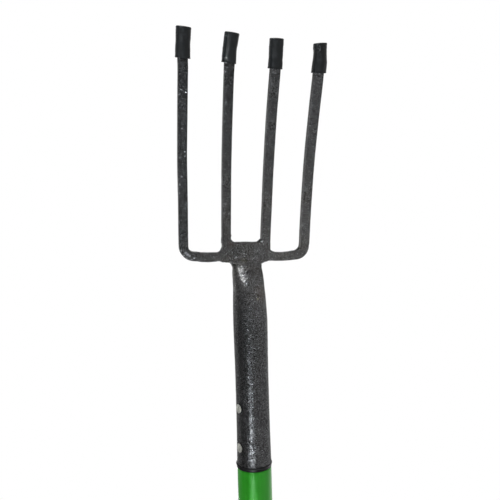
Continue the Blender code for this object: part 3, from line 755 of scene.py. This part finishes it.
def makeOuterTine(key):
    own = tines[key]
    baseX = own["baseX"] + own["drift"]
    top, innerBend, outerBend = tines["armHeight"], own["innerBend"], own["outerBend"]
    innerCentre = Vector((baseX - barHalfWidth + own["spread"] * top - innerBend, top + innerBend))
    outerCentre = Vector((baseX + barHalfWidth - outerBend, outerBend))
    armStart = crownHalf + tines["footSink"]
    rings = []
    for share in steps(0, 1, 20)[:-1]:
        low = Vector((between(armStart, outerCentre.x, share), alongList(own["below"], share) * mm))
        high = Vector((between(armStart, innerCentre.x, share), top + alongList(own["above"], share) * mm))
        rings.append(barRing(high, low, barHalfThickness, barCorner, own))
    for angle in steps(0, pi / 2, 22):
        turn = Vector((sin(angle), -cos(angle)))
        flat = 1 - ease(angle / (pi / 2))
        inner = innerCentre + turn * innerBend
        outer = outerCentre + turn * outerBend
        inner.y += own["above"][-1] * mm * flat
        outer.y += own["below"][-1] * mm * flat
        rings.append(barRing(inner, outer, barHalfThickness, barCorner, own))
    finishBar(key, rings + tineRings(max(innerCentre.y, outerCentre.y) + tines["stationStep"], own))


def makeInnerTine(key):
    finishBar(key, tineRings(crownTop - tines["footSink"], tines[key]))  # its foot stands in the weld


makeOuterTine("outer_left")
makeInnerTine("inner_left")
makeInnerTine("inner_right")
makeOuterTine("outer_right")
print("tines made")

# Welds: beads between crown and arms, and filleted feet under the inner tines
welds = {
    **lengths(sink=0.9, beadLength=3.8, bulge=0.35, footHeight=5, uneven=0.22),
    **lengths(beadInset=0.12, footInset=0.10, topInset=0.15),
    "waves": ((1, 2.6, 0), (0.5, 1.3, 5)),
    "secondRipple": 0.35, "liftSpan": 0.6, "bulgeBelow": 0.4, "bulgeAbove": 0.6, "footShare": 0.5,
    "beadPoints": 48, "footPoints": 56,
    "outer_left": {"power": 3.6, **lengths(rise=5.6, under=0.9, extra=2, lift=1, deeper=6.2)},
    "outer_right": {"power": 2.4, **lengths(rise=3.8, under=0.25, extra=0.6, lift=0.1, deeper=0)},
    "inner_left": {"power": 1.5, **lengths(reach=4.6, height=4.5)},
    "inner_right": {"power": 1.4, **lengths(reach=3.9, height=3.4)},
    "stroke": {
        "places": ((-21.6, 9), (-20.6, 6.2), (-18.6, 3.6), (-17, 1)),
        "size": 0.86, "pulse": 0.14, "pulses": 9, "endSpan": 0.35, "thinnest": 0.05,
        **lengths(radius=1.3, stand=0.40),
    },
}


def roughenWeld(work, share):
    freshNormals(work)
    roughen(work, welds["waves"], lambda place: welds["uneven"] * share)
    return work


def makeBead(key):
    own, side = welds[key], tines[key]["side"]
    start = crownHalf - welds["sink"]
    last = crownHalf + welds["beadLength"] + welds["sink"] + own["extra"]
    rings = []
    for share in steps(0, 1, 24):
        x = between(start - own["deeper"], last, share)
        outside = max(0, (x - start) / (last - start))
        inside = max(0, crownHalf - x) / (welds["sink"] + own["deeper"])
        ripple = sin(pi * share) ** 0.5 + welds["secondRipple"] * sin(3 * pi * share) ** 2
        bulge = welds["bulge"] * ripple
        rise = own["rise"] * (1 - outside) ** own["power"]
        low = own["lift"] * ease(outside / welds["liftSpan"])
        low -= bulge * welds["bulgeBelow"] + own["under"] * inside
        high = tines["armHeight"] + rise + bulge * welds["bulgeAbove"] - welds["topInset"]
        halfDeep = barHalfThickness + bulge - welds["beadInset"]
        points = outline((high - low) / 2, halfDeep, barCorner, welds["beadPoints"])
        rings.append([onHead(side * x, (low + high) / 2 + u, v) for u, v in points])
    return roughenWeld(loftWork(rings), 1)


def makeFoot(key):
    own, tine = welds[key], tines[key]
    bottom, inset = crownTop - welds["sink"], welds["footInset"]
    rings = []
    for share in steps(0, 1, 22):
        along = bottom + (welds["footHeight"] + welds["sink"]) * share
        centre = tine["baseX"] + tine["spread"] * along
        climb = max(0, along - crownTop) / own["height"]
        flare = own["reach"] * max(0, 1 - climb) ** own["power"]
        inner = centre - barHalfWidth - flare + inset * share
        outer = min(centre + barHalfWidth, crownHalf) - inset * share
        halfDeep = barHalfThickness + welds["bulge"] * welds["footShare"] * sin(pi * share) - inset
        points = outline((outer - inner) / 2, halfDeep, barCorner, welds["footPoints"])
        rings.append([onHead(tine["side"] * ((inner + outer) / 2 + u), along, v) for u, v in points])
    addToHead(pieceName("weld", key), roughenWeld(loftWork(rings), welds["footShare"]), "weld_" + key)


def strokeRings(own):
    outward = -(barHalfThickness + own["stand"] - own["radius"])
    corners = [Vector(place) * mm for place in own["places"]]
    rings = []
    for share in steps(0, len(corners) - 1, 30):
        index = min(int(share), len(corners) - 2)
        middle = corners[index].lerp(corners[index + 1], share - index)
        direction = (corners[index + 1] - corners[index]).normalized()
        size = own["radius"] * (own["size"] + own["pulse"] * cos(own["pulses"] * share))
        toEnd = min(share, len(corners) - 1 - share) / own["endSpan"]
        size *= sqrt(max(own["thinnest"], min(1, toEnd)))
        ring = []
        for side, out in circle(16):
            spot = middle + Vector((direction.y, -direction.x)) * size * side
            ring.append(onHead(spot.x, spot.y, outward + size * out))
        rings.append(ring)
    return rings


leftBead = joinWork(makeBead("outer_left"), loftWork(strokeRings(welds["stroke"])))
addToHead("weldOuterLeft", leftBead, "weld_outer_left")
addToHead("weldOuterRight", makeBead("outer_right"), "weld_outer_right")
makeFoot("inner_left")
makeFoot("inner_right")
print("welds made")

# Rivets: domed heads pressed against the round wall, with a shallow closing groove
rivets = {
    "segments": 40,
    **lengths(dome=0.5, shoulder=0.30, grooveDepth=0.45, shankInner=0.2),
    # the dark ring is set off across and up, to paint the head's shadow on the wall
    **lengths(gapWidth=0.7, gapAcross=0.9, gapUp=0.35, gapHeight=0.05),
    "grooveAt": 0.66,
    "grooveWidth": 0.13,
    "gapInner": 0.7,
    "domeShares": (0.06, *steps(0.15, 0.94, 16), 0.975, 1),
    "rimShare": 0.97,
    **lengths(rimStand=0.12, footStand=0.02),
    "socket": {"turn": radians(18.5), **lengths(head=4.45, shank=2.6)},
    "grip": {"turn": radians(90), **lengths(head=4, shank=2)},
}


def wallRing(side, radius, stand, seat, shiftAcross=0, shiftUp=0):
    ring = []
    for x, y in circle(rivets["segments"]):
        across, up = radius * x + shiftAcross, radius * y + shiftUp
        ring.append(Vector((side * (sqrt(seat**2 - across**2) + stand), across, up)))
    return ring


def rivetHead(side, seat, own):
    profile = []
    for share in rivets["domeShares"]:
        groove = rivets["grooveDepth"] * bell(share - rivets["grooveAt"], rivets["grooveWidth"])
        stand = rivets["dome"] * (1 - share**2) - groove
        profile.append((share * own["head"], stand + rivets["shoulder"]))
    profile.append((own["head"], rivets["rimStand"]))
    profile += [(radius, rivets["footStand"]) for radius in (own["head"] * rivets["rimShare"], own["shank"])]
    rings = [wallRing(side, radius, stand, seat) for radius, stand in profile]
    rings.append([Vector((side * rivets["shankInner"], point.y, point.z)) for point in rings[-1]])
    return loftWork(rings)


def gapShadowRing(side, seat, own):  # the thin dark gap between head and wall, set off towards the right and top as a painted shadow of the head
    inner, outer = own["head"] * rivets["gapInner"], own["head"] + rivets["gapWidth"]
    height = rivets["gapHeight"]
    rings = []
    for radius, stand in ((inner, -height), (inner, height), (outer, height), (outer, -height)):
        rings.append(wallRing(side, radius, stand, seat, side * rivets["gapAcross"], rivets["gapUp"]))
    return loftWork(rings, closedPath=True)


def makeRivet(name, node, own, seat):
    low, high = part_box(node)
    place = Matrix.Translation((0, 0, (low.z + high.z) / 2)) @ Matrix.Rotation(own["turn"], 4, "Z")
    parts = (
        (name, rivetHead, plain["rivetMetal"], "rivet_metal"),
        (name + "Gap", gapShadowRing, plain["collarBlack"], "black_collar"),
    )
    for partName, makeSide, finish, slotName in parts:
        work = joinWork(makeSide(-1, seat, own), makeSide(1, seat, own))
        bmesh.ops.transform(work, matrix=place, verts=work.verts)
        addFixed(partName, work, finish, slotName, node)


for word in ("upper", "lower"):
    node = "socket_rivet_" + word
    drop = -(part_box(node)[0].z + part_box(node)[1].z) / 2
    makeRivet(pieceName("socket", "rivet_" + word), node, rivets["socket"], socketRadius(drop))
print("socket rivets made")

# Collar and sleeve, turned round the shaft
ringParts = {
    "segments": 128,
    **lengths(collarEdge=0.6, collarBead=0.20, collarOut=0.15, collarStand=0.45, collarShift=-0.2),
    **lengths(sleeveEdge=0.6, sleeveUneven=0.05, sleeveWave=30),
}


def turnedWork(radius, foot, edge, bottom, top, wall):  # bored right through, with both rims rounded
    profile = [(boreRadius, top)] + list(reversed(roundedRim(radius, edge, top, 1)))
    profile += wall + roundedRim(foot, edge, bottom, -1) + [(boreRadius, bottom)]
    return loftWork(turnedRings(profile, ringParts["segments"]), closedPath=True)


def makeCollar():
    low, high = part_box("socket_collar")
    radius, edge = high.x + ringParts["collarOut"], ringParts["collarEdge"]
    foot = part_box("shaft_sleeve")[1].x + ringParts["collarStand"]
    wall = []
    for share in steps(0, 1, 8)[1:-1]:
        drawn = between(radius, foot, share**1.3) - ringParts["collarBead"] * sin(pi * share)
        wall.append((drawn, between(-socketEnd - edge, low.z + edge, share)))
    work = turnedWork(radius, foot, edge, low.z, -socketEnd, wall)
    bmesh.ops.translate(work, vec=(ringParts["collarShift"], 0, 0), verts=work.verts)
    addFixed("socketCollar", work, plain["collarBlack"], "black_collar", "socket_collar")


def makeSleeve():
    low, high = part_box("shaft_sleeve")
    radius, edge = high.x, ringParts["sleeveEdge"]
    wall = []
    for height in steps(high.z - edge, low.z + edge, 90)[1:-1]:
        wave = wobble((0, 0, height), ringParts["sleeveWave"])
        wall.append((radius + ringParts["sleeveUneven"] * wave, height))
    work = turnedWork(radius, radius, edge, low.z, high.z, wall)
    addFixed("shaftSleeve", work, plain["greenSleevePlastic"], "green_sleeve", "shaft_sleeve")


makeCollar()
makeSleeve()
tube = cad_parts["shaft_tube"]
tube.data.materials.clear()
tube.data.materials.append(plain["tubeSteel"])
print("collar and sleeve made")

# Tip caps: soft round caps, each bent and wrinkled in its own way. Each cap's own measures
# are in millimetres and degrees, and its rows run from its mouth to its end.
caps = {
    "segments": 72,
    **lengths(gap=0.3, wall=0.7, endWall=2, headroom=0.6, endEdge=1.1, lip=0.25, lipSpan=1.1),
    **lengths(mouthEdge=0.35, waist=0.20, wrinkle=0.10, wrinkleSize=6),
    **lengths(grooveDepth=0.09, grooveWidth=0.45),
    **lengths(mouthDraw=0.15, mouthRise=0.06, boreLip=0.25, boreFrom=2),
    "endShares": (0.06, 0.35, 0.7, 0.9), "boreShares": (0.3, 0.6, 1), "wrinkleShift": 1.7,
    "rowsFrom": 0.17, "rowsSpan": 0.68,
    "waistAt": 0.45, "waistSpan": 0.2,
    "narrowFrom": 0.3, "narrowSpan": 0.5,
    "outer_left": {
        "lean": 2, "narrowing": 0.2, "endSlope": 4, "mouthSlope": 3, "drop": 0.35, "dome": 0.3,
        "rings": (19, 21.5, 24), "shift": (0.10, 0.14, 0.25, 0.30, 0.26),
        "swell": (-0.16, -0.13, -0.20, -0.04, 0),
    },
    "inner_left": {
        "lean": 7, "narrowing": 0.4, "endSlope": 5.5, "mouthSlope": 5, "drop": 0.42, "dome": 0.3,
        "rings": (), "shift": (-0.62, -0.30, -0.15, -0.09, -0.18),
        "swell": (-0.42, -0.30, -0.08, 0.13, 0.21),
    },
    "inner_right": {
        "lean": -3, "narrowing": 0.4, "endSlope": -2, "mouthSlope": 0, "drop": -0.08, "dome": 0.35,
        "rings": (18.5, 20.5), "shift": (-0.18, -0.42, -0.52, -0.56, -0.28),
        "swell": (-0.05, -0.25, 0.05, 0.16, 0.09),
    },
    "outer_right": {
        "lean": -4, "narrowing": 0.7, "endSlope": -8.5, "mouthSlope": -3.5, "drop": -0.12, "dome": 0.35,
        "rings": (21, 24.5), "shift": (0.21, 0.14, -0.16, -0.31, -0.68),
        "swell": (0.25, 0.24, 0.06, 0, 0.25),
    },
}
capBore = barCorner + hypot(barHalfWidth - barCorner, barHalfThickness - barCorner) + caps["gap"]


def capRow(values, share):
    return alongList(values, (share - caps["rowsFrom"]) / caps["rowsSpan"]) * mm


def capRadius(height, length, own):
    share = height / length
    radius = capBore + caps["wall"] + caps["lip"] * bell(height, caps["lipSpan"])
    radius -= caps["waist"] * bell(share - caps["waistAt"], caps["waistSpan"])
    radius -= own["narrowing"] * mm * ease((share - caps["narrowFrom"]) / caps["narrowSpan"])
    for place in own["rings"]:
        radius -= caps["grooveDepth"] * bell(height - place * mm, caps["grooveWidth"])
    return radius + capRow(own["swell"], share)


def makeCap(key):
    own, tine = caps[key], tines[key]
    radius, edge, lip = capBore + caps["wall"], caps["endEdge"], caps["mouthEdge"]
    innerLength = tines["capCover"] + caps["headroom"]
    length = innerLength + caps["endWall"] - own["drop"] * mm
    endRadius = capRadius(length, length, own)
    outer = []
    for share in caps["endShares"]:
        outer.append((share * (endRadius - edge), length + own["dome"] * mm * (1 - share * share)))
    outer += list(reversed(roundedRim(endRadius, edge, length, 1)))
    outer += [(capRadius(height, length, own), height) for height in steps(length - edge, lip, 64)[1:]]
    outer += [(radius + caps["lip"] - caps["mouthDraw"], caps["mouthRise"]), (radius - lip, 0)]
    tapered = tines["capCover"] - tines["tipLength"]
    inner = [(capBore + caps["boreLip"], 0), (capBore, lip)]
    inner += [(capBore, height) for height in steps(caps["boreFrom"], tapered, 5)]
    for share in caps["boreShares"]:
        inner.append((capBore - own["narrowing"] * mm * share, between(tapered, innerLength, share)))
    rings = turnedRings(outer + inner, caps["segments"])
    slopes = [tan(radians(own[name])) for name in ("mouthSlope", "endSlope", "lean")]
    for index, ring in enumerate(rings):
        for point in ring:
            share = point.z / length
            point.z -= point.x * between(slopes[0], slopes[1], share)
            if index < len(outer):
                wave = wobble(point, caps["wrinkleSize"], len(key) * caps["wrinkleShift"])
                push = 1 + caps["wrinkle"] / radius * wave
                point.x = point.x * push + capRow(own["shift"], share)
                point.y *= push
            point.x += slopes[2] * max(0, point.z - tapered)
    piece = addPiece("tipCap_" + key, loftWork(rings), glossyVinyl if key == "inner_left" else capVinyl)
    ends = []
    for along in (tine["reach"] - tines["capCover"], tine["reach"]):
        x = tine["side"] * (tine["baseX"] + tine["spread"] * along)
        ends.append(onHead(x, along, 0, straightFrom(tine)))
    along = (ends[1] - ends[0]).normalized()
    across = (Vector((1, 0, 0)) - along * along.x).normalized()
    turn = Matrix((across, along.cross(across), along)).transposed()
    piece.matrix_world = Matrix.Translation(ends[0]) @ turn.to_4x4()
    settle(piece, "cap_" + key, "black_vinyl", "tip_cap_" + key)


for key in ("outer_left", "inner_left", "inner_right", "outer_right"):
    makeCap(key)
print("tip caps made")

# Moulded grip: a hub for the tube and a D-shaped loop, joined and softened as one moulding
gripRim = -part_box("grip_body")[1].z
grip = {
    **lengths(socketWall=3.6, socketDepth=58, rimBead=1, rimHeight=8, neckRise=5.8),
    **lengths(apexDrop=8, apexHalfWidth=10, halfWidth=50, spreadHeight=34, sideHeight=44),
    "radii": lengths(apex=12, shoulder=24, corner=16),
    "armHalf": (6.5 * mm, 9.2 * mm),
    "barHalf": (9.8 * mm, 11.2 * mm),
    **lengths(voxel=0.9, partLine=0.25, partLineWidth=0.5, partLineReach=1.2),
    **lengths(hubInset=0.5, hubCorner=6.9, boreStop=0.3, gapOver=4),
    "arcSteps": 14, "gapSteps": 8, "loopPoints": 40, "hubPoints": 96,
    "rimSoftness": 0.8, "armRoundness": 0.8, "softness": 0.5, "softRounds": 4,
}
gripEnd = gripRim + grip["socketDepth"]
gripApex = gripEnd + grip["apexDrop"]
gripShoulder = gripApex + grip["spreadHeight"]
gripBar = gripShoulder + grip["sideHeight"]


def loopStations(corners):
    places = []
    for index, (corner, radius) in enumerate(corners):
        before = (corners[index - 1][0] - corner).normalized()
        after = (corners[(index + 1) % len(corners)][0] - corner).normalized()
        half = before.angle(after) / 2
        centre = corner + (before + after).normalized() * (radius / sin(half))
        start = corner + before * (radius / tan(half)) - centre
        sweep = copysign(pi - 2 * half, before.cross(after))
        for turnAngle in steps(0, -sweep, grip["arcSteps"]):
            turn = Matrix.Rotation(turnAngle, 2)
            places.append((centre + turn @ start, turn @ -before))
    filled = []
    for index, (place, direction) in enumerate(places):
        filled.append((place, direction))
        ahead, aheadDirection = places[(index + 1) % len(places)]
        if (ahead - place).length > grip["gapOver"]:
            for share in steps(0, 1, grip["gapSteps"])[1:-1]:
                turned = direction.lerp(aheadDirection, share).normalized()
                filled.append((place.lerp(ahead, share), turned))
    return filled


def gripLoop():
    wide, radii, rings = grip["halfWidth"], grip["radii"], []
    half = [
        (Vector((grip["apexHalfWidth"], -gripApex)), radii["apex"]),
        (Vector((wide, -gripShoulder)), radii["shoulder"]),
        (Vector((wide, -gripBar)), radii["corner"]),
    ]
    corners = half + [(Vector((-place.x, place.y)), radius) for place, radius in reversed(half)]
    for place, direction in loopStations(corners):
        low = ease(1 - (place.y + gripBar) / radii["corner"])
        halves = [between(arm, bar, low) for arm, bar in zip(grip["armHalf"], grip["barHalf"])]
        ring = []
        corner = min(halves) * between(grip["armRoundness"], 1, low)
        for u, v in outline(*halves, corner, grip["loopPoints"], 1):
            ring.append(Vector((place.x + direction.y * u, v, place.y - direction.x * u)))
        rings.append(ring)
    return loftWork(rings, closedPath=True)


def gripHub():
    outer, neck = boreRadius + grip["socketWall"], gripEnd - grip["neckRise"]
    bead, soft = outer + grip["rimBead"], grip["rimSoftness"] * grip["rimBead"]
    rim, foot = gripRim + grip["rimHeight"], grip["armHalf"][0] / 2
    profile = [(boreRadius, gripEnd - grip["boreStop"]), (boreRadius, gripRim)]
    profile += [(bead - soft, gripRim), (bead, gripRim + soft)]
    profile += [(bead, rim - soft), (bead - soft, rim), (outer, rim + grip["rimBead"] / 2), (outer, neck)]
    sections = [(drop, radius, radius, radius) for radius, drop in profile]
    for share in steps(0, 1, 12)[1:]:
        mix = ease(share)
        halfX = between(outer, grip["apexHalfWidth"] + foot, mix)
        halfY = between(outer, grip["armHalf"][1] - grip["hubInset"], mix)
        corner = between(outer, grip["hubCorner"], mix)
        sections.append((between(neck, gripApex + foot, share), halfX, halfY, corner))
    rings = []
    for drop, *section in sections:
        rings.append([Vector((x, y, -drop)) for x, y in outline(*section, grip["hubPoints"])])
    return loftWork(rings)


def makeGrip():
    loop, hub = gripLoop(), gripHub()
    for work in (loop, hub):
        bmesh.ops.recalc_face_normals(work, faces=work.faces)
    piece = addPiece("gripMoulding", joinWork(loop, hub), plain["gripPlastic"])
    remesh = piece.modifiers.new("join", "REMESH")
    remesh.mode = "VOXEL"
    remesh.voxel_size = grip["voxel"]
    remesh.use_smooth_shade = True
    soften = piece.modifiers.new("soften", "SMOOTH")
    soften.factor, soften.iterations = grip["softness"], grip["softRounds"]
    dressed = bpy.data.meshes.new_from_object(piece.evaluated_get(bpy.context.evaluated_depsgraph_get()))
    piece.modifiers.clear()
    piece.data = dressed
    for vertex in dressed.vertices:  # the raised line where the mould's halves met
        if -vertex.co.z > gripEnd - grip["neckRise"] and abs(vertex.co.y) < grip["partLineReach"]:
            push = grip["partLine"] * bell(vertex.co.y, grip["partLineWidth"])
            vertex.co += vertex.normal * push
    dressed.shade_smooth()
    settle(piece, "fork", "grip_plastic", "grip_body")


# Cushion round the crossbar, with shallow ridges
cushion = {
    "ridges": 8, "ridgeSteps": 12, "ridgePower": 0.7, "points": 64,
    **lengths(wall=2.8, edge=1.4, ridge=0.7, seat=0.3, margin=1),
}


def makeCushion():
    own = cushion
    half = grip["halfWidth"] - grip["radii"]["corner"] - own["margin"]
    wall, edge = own["wall"] - own["ridge"], own["edge"]
    flatHalf = half - edge
    places = []
    for share in steps(0, 1, own["ridges"] * own["ridgeSteps"])[1:-1]:
        ridge = 0.5 - 0.5 * cos(2 * pi * own["ridges"] * share)
        thick = wall + own["ridge"] * ridge ** own["ridgePower"]
        places.append((between(-flatHalf, flatHalf, share), thick))
    rounded = [(flatHalf + reach, wall - drop) for reach, drop in quarterArc(edge, 6)]
    places = [(-x, thick) for x, thick in reversed(rounded)] + places + rounded
    places += [(half, 0), (-half, 0)]
    rings = []
    for x, thick in places:
        halves = [reach + own["seat"] + thick for reach in grip["barHalf"]]
        points = outline(*halves, min(halves), own["points"], 1)
        rings.append([Vector((x, v, -gripBar + u)) for u, v in points])
    work = loftWork(rings, closedPath=True)
    addFixed("gripCushion", work, plain["gripRubber"], "grip_rubber", "grip_cushion")


makeGrip()
makeCushion()
makeRivet("gripRivet", "grip_rivet", rivets["grip"], boreRadius + grip["socketWall"])
print("grip made")

# Stage: a floor that is pure white far off and catches a shadow close to the fork, and a
# room that only glossy rays see. Rows are axis, from, to, value up to there, value from here.
stageSettings = {
    "floorHeight": cadLow.z - 0.5 * mm,
    "floorHalf": 30,
    "floorColour": (0.80, 0.80, 0.80, 1),
    "floorGrain": 30,
    "floorRoughness": (0.2, 0.8, 0.85, 0.95),
    "whiteNear": 0.50,
    "whiteFar": (0.30, 0.80, 0, 1),
    "ambient": 0.42,
    "roomLevel": ("Y", -0.25, 0.25, 0.80, 0.50),  # the room in front, and the white behind
    "roomFades": (
        ("Z", -0.42, -0.26, 0.62, 1), ("Z", 0.10, 0.60, 1, 0.95), ("X", 0.05, 0.35, 0.72, 1),
    ),
    "rimTurn": 0.2,
    "rimLight": (0.10, 0.50, 0, 0.65),
    "rimRise": ("Z", -0.20, 0, 1.9, 0.8),
    "above": (("Y", 0, 0.3, 0, 1), ("Z", 0.32, 0.40, 0, 0.9)),
    "darkSide": (-0.94, -0.28, -0.10),
    "darkLight": (0.70, 0.90, 1, 0.36),
    "window": (  # seen in the left faces of the right tines
        ("X", -0.30, -0.22, 1, 0), ("Y", 0.60, 0.80, 0, 1.1),
        ("Z", -0.05, 0.05, 0, 1), ("Z", 0.33, 0.38, 1, 0),
    ),
    "lowLight": ("Z", -0.58, -0.50, 1, 0),
    "leastForward": 0.05,  # keeps the division below from running away
    "lowSides": (-0.9, 0.1, -0.8, 1.15),
    "panelSides": ((-0.66, -0.54, 0, 1), (-0.46, -0.34, 1, 0)),  # a large low panel, front left
    "panelRows": (
        ("Z", -0.51, -0.30, 9.2, 0), ("Z", -0.55, -0.47, 30, 0), ("Z", -0.62, -0.55, 14, 0),
    ),
    "panelColour": (0.90, 0.95, 1, 1),
}


def roomStrength(tree, direction):
    own = stageSettings
    axes = axesOf(tree, direction)
    behind = calc(tree, "ADD", axes["Y"], times(tree, axes["X"], own["rimTurn"]))
    rim = times(tree, remap(tree, behind, *own["rimLight"]), fades(tree, axes, own["rimRise"]))
    toDark = vectorCalc(tree, "DOT_PRODUCT", direction, Vector(own["darkSide"]).normalized(), "Value")
    room = calc(tree, "ADD", fades(tree, axes, own["roomLevel"]), rim)
    room = times(
        tree, room, calc(tree, "SUBTRACT", 1, fades(tree, axes, *own["above"])),
        fades(tree, axes, *own["roomFades"]), remap(tree, toDark, *own["darkLight"]),
    )
    room = calc(tree, "ADD", room, fades(tree, axes, *own["window"]))
    forward = calc(tree, "MAXIMUM", times(tree, axes["Y"], -1), own["leastForward"])
    sideways = calc(tree, "DIVIDE", axes["X"], forward)
    low = times(tree, fades(tree, axes, own["lowLight"]), remap(tree, sideways, *own["lowSides"]))
    room = times(tree, room, calc(tree, "ADD", low, 1))
    levels = calc(tree, "ADD", *[fades(tree, axes, row) for row in own["panelRows"]])
    panel = times(tree, *[remap(tree, sideways, *side) for side in own["panelSides"]], levels)
    colour = blendColours(tree, calc(tree, "MINIMUM", panel, 1), white, own["panelColour"])
    return calc(tree, "ADD", room, panel), colour


def roomLook(tree, direction):  # plain white to the camera, the room to glossy rays
    light = tree.nodes.new("ShaderNodeLightPath").outputs
    camera = light["Is Camera Ray"]
    glossy = calc(tree, "MAXIMUM", light["Is Glossy Ray"], light["Is Transmission Ray"])
    level, tint = roomStrength(tree, direction)
    strength = calc(tree, "MAXIMUM", camera, times(tree, glossy, level))
    return camera, glossy, strength, blendColours(tree, camera, tint, white)


def makeFloor():
    own = stageSettings
    work = bmesh.new()
    bmesh.ops.create_grid(work, x_segments=8, y_segments=8, size=own["floorHalf"])
    finish, tree, shader, place = startFinish("paleFloor", {"Base Color": own["floorColour"]})
    roughness = remap(tree, cloudField(tree, place, own["floorGrain"], 3), *own["floorRoughness"])
    tree.links.new(roughness, shader.inputs["Roughness"])
    fromCrown = vectorCalc(tree, "ADD", place, (0, 0, own["floorHeight"]))
    camera, glossy, strength, colour = roomLook(tree, vectorCalc(tree, "NORMALIZE", fromCrown))
    far = remap(tree, vectorCalc(tree, "LENGTH", place, output="Value"), *own["whiteFar"])
    far = times(tree, calc(tree, "MAXIMUM", camera, glossy), far)
    share = calc(tree, "MAXIMUM", far, times(tree, camera, own["whiteNear"]))
    glow = addNode(tree, "ShaderNodeEmission", {"Color": colour, "Strength": strength})
    both = addNode(tree, "ShaderNodeMixShader", {0: share, 1: shader.outputs[0], 2: glow.outputs[0]})
    tree.links.new(both.outputs[0], tree.nodes["Material Output"].inputs["Surface"])
    floor = addPiece("floor", work, finish)
    floor.location.z = own["floorHeight"]


def makeWorld():
    world = bpy.data.worlds.new("studio")
    world.use_nodes = True
    bpy.context.scene.world = world
    tree = world.node_tree
    tree.nodes.clear()
    direction = tree.nodes.new("ShaderNodeTexCoord").outputs["Generated"]
    camera, glossy, shown, colour = roomLook(tree, direction)
    ambient = times(tree, calc(tree, "SUBTRACT", 1, glossy), stageSettings["ambient"])
    strength = calc(tree, "MAXIMUM", shown, ambient)
    backdrop = addNode(tree, "ShaderNodeBackground", {"Color": colour, "Strength": strength})
    addNode(tree, "ShaderNodeOutputWorld", {"Surface": backdrop.outputs[0]})


# Lamps: (place, target, width, height, watts, spread), all soft and none in the camera's view
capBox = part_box("tip_cap_inner_left")
capMiddle = (Vector(capBox[0]) + Vector(capBox[1])) / 2
lampColour = (0.94, 0.97, 1)
lamps = {
    "highBox": ((-0.30, -0.235, 0.72), (0, 0, 0), 0.13, 0.17, 4.2, 180),
    "capStrip": ((-0.52, -0.26, -0.006), (0, -0.03, 0.215), 0.16, 0.22, 0.025, 24),
    "capSpot": (capMiddle + Vector((-0.404, -0.315, -0.207)), capMiddle, 0.02, 0.06, 0.0023, 4),
}


def makeLamps():
    for name, (place, target, width, height, watts, spread) in lamps.items():
        light = bpy.data.lights.new(name, "AREA")
        light.shape = "RECTANGLE"
        light.size, light.size_y = width, height
        light.energy, light.color = watts, lampColour
        light.spread = radians(spread)
        lamp = bpy.data.objects.new(name, light)
        lamp.location = place
        lamp.rotation_mode = "QUATERNION"
        lamp.rotation_quaternion = (Vector(target) - Vector(place)).to_track_quat("-Z", "Y")
        lamp.visible_camera = False
        bpy.context.scene.collection.objects.link(lamp)


# Camera at the photograph's place: just left of the front, level with the crown
cameraSettings = {
    "place": (-0.1223, -0.4954, 0.0049),
    "azimuth": radians(-14.06),
    "elevation": radians(-0.69),
    "roll": radians(-1.62),
    "lens": 36,
    "sensor": 36,
    "clip": (0.01, 100),
}


def makeCamera():
    own = cameraSettings
    azimuth, level = own["azimuth"], cos(own["elevation"])
    back = Vector((sin(azimuth) * level, -cos(azimuth) * level, sin(own["elevation"])))
    data = bpy.data.cameras.new("photoCamera")
    data.lens, data.sensor_width = own["lens"], own["sensor"]
    data.clip_start, data.clip_end = own["clip"]
    camera = bpy.data.objects.new("photoCamera", data)
    camera.location = own["place"]
    camera.rotation_mode = "QUATERNION"
    roll = Matrix.Rotation(own["roll"], 3, "Z").to_quaternion()
    camera.rotation_quaternion = (-back).to_track_quat("-Z", "Y") @ roll
    bpy.context.scene.collection.objects.link(camera)
    bpy.context.scene.camera = camera


makeFloor()
makeWorld()
makeLamps()
makeCamera()
bpy.context.scene.view_settings.view_transform = "Standard"
print("stage, lamps and camera set")
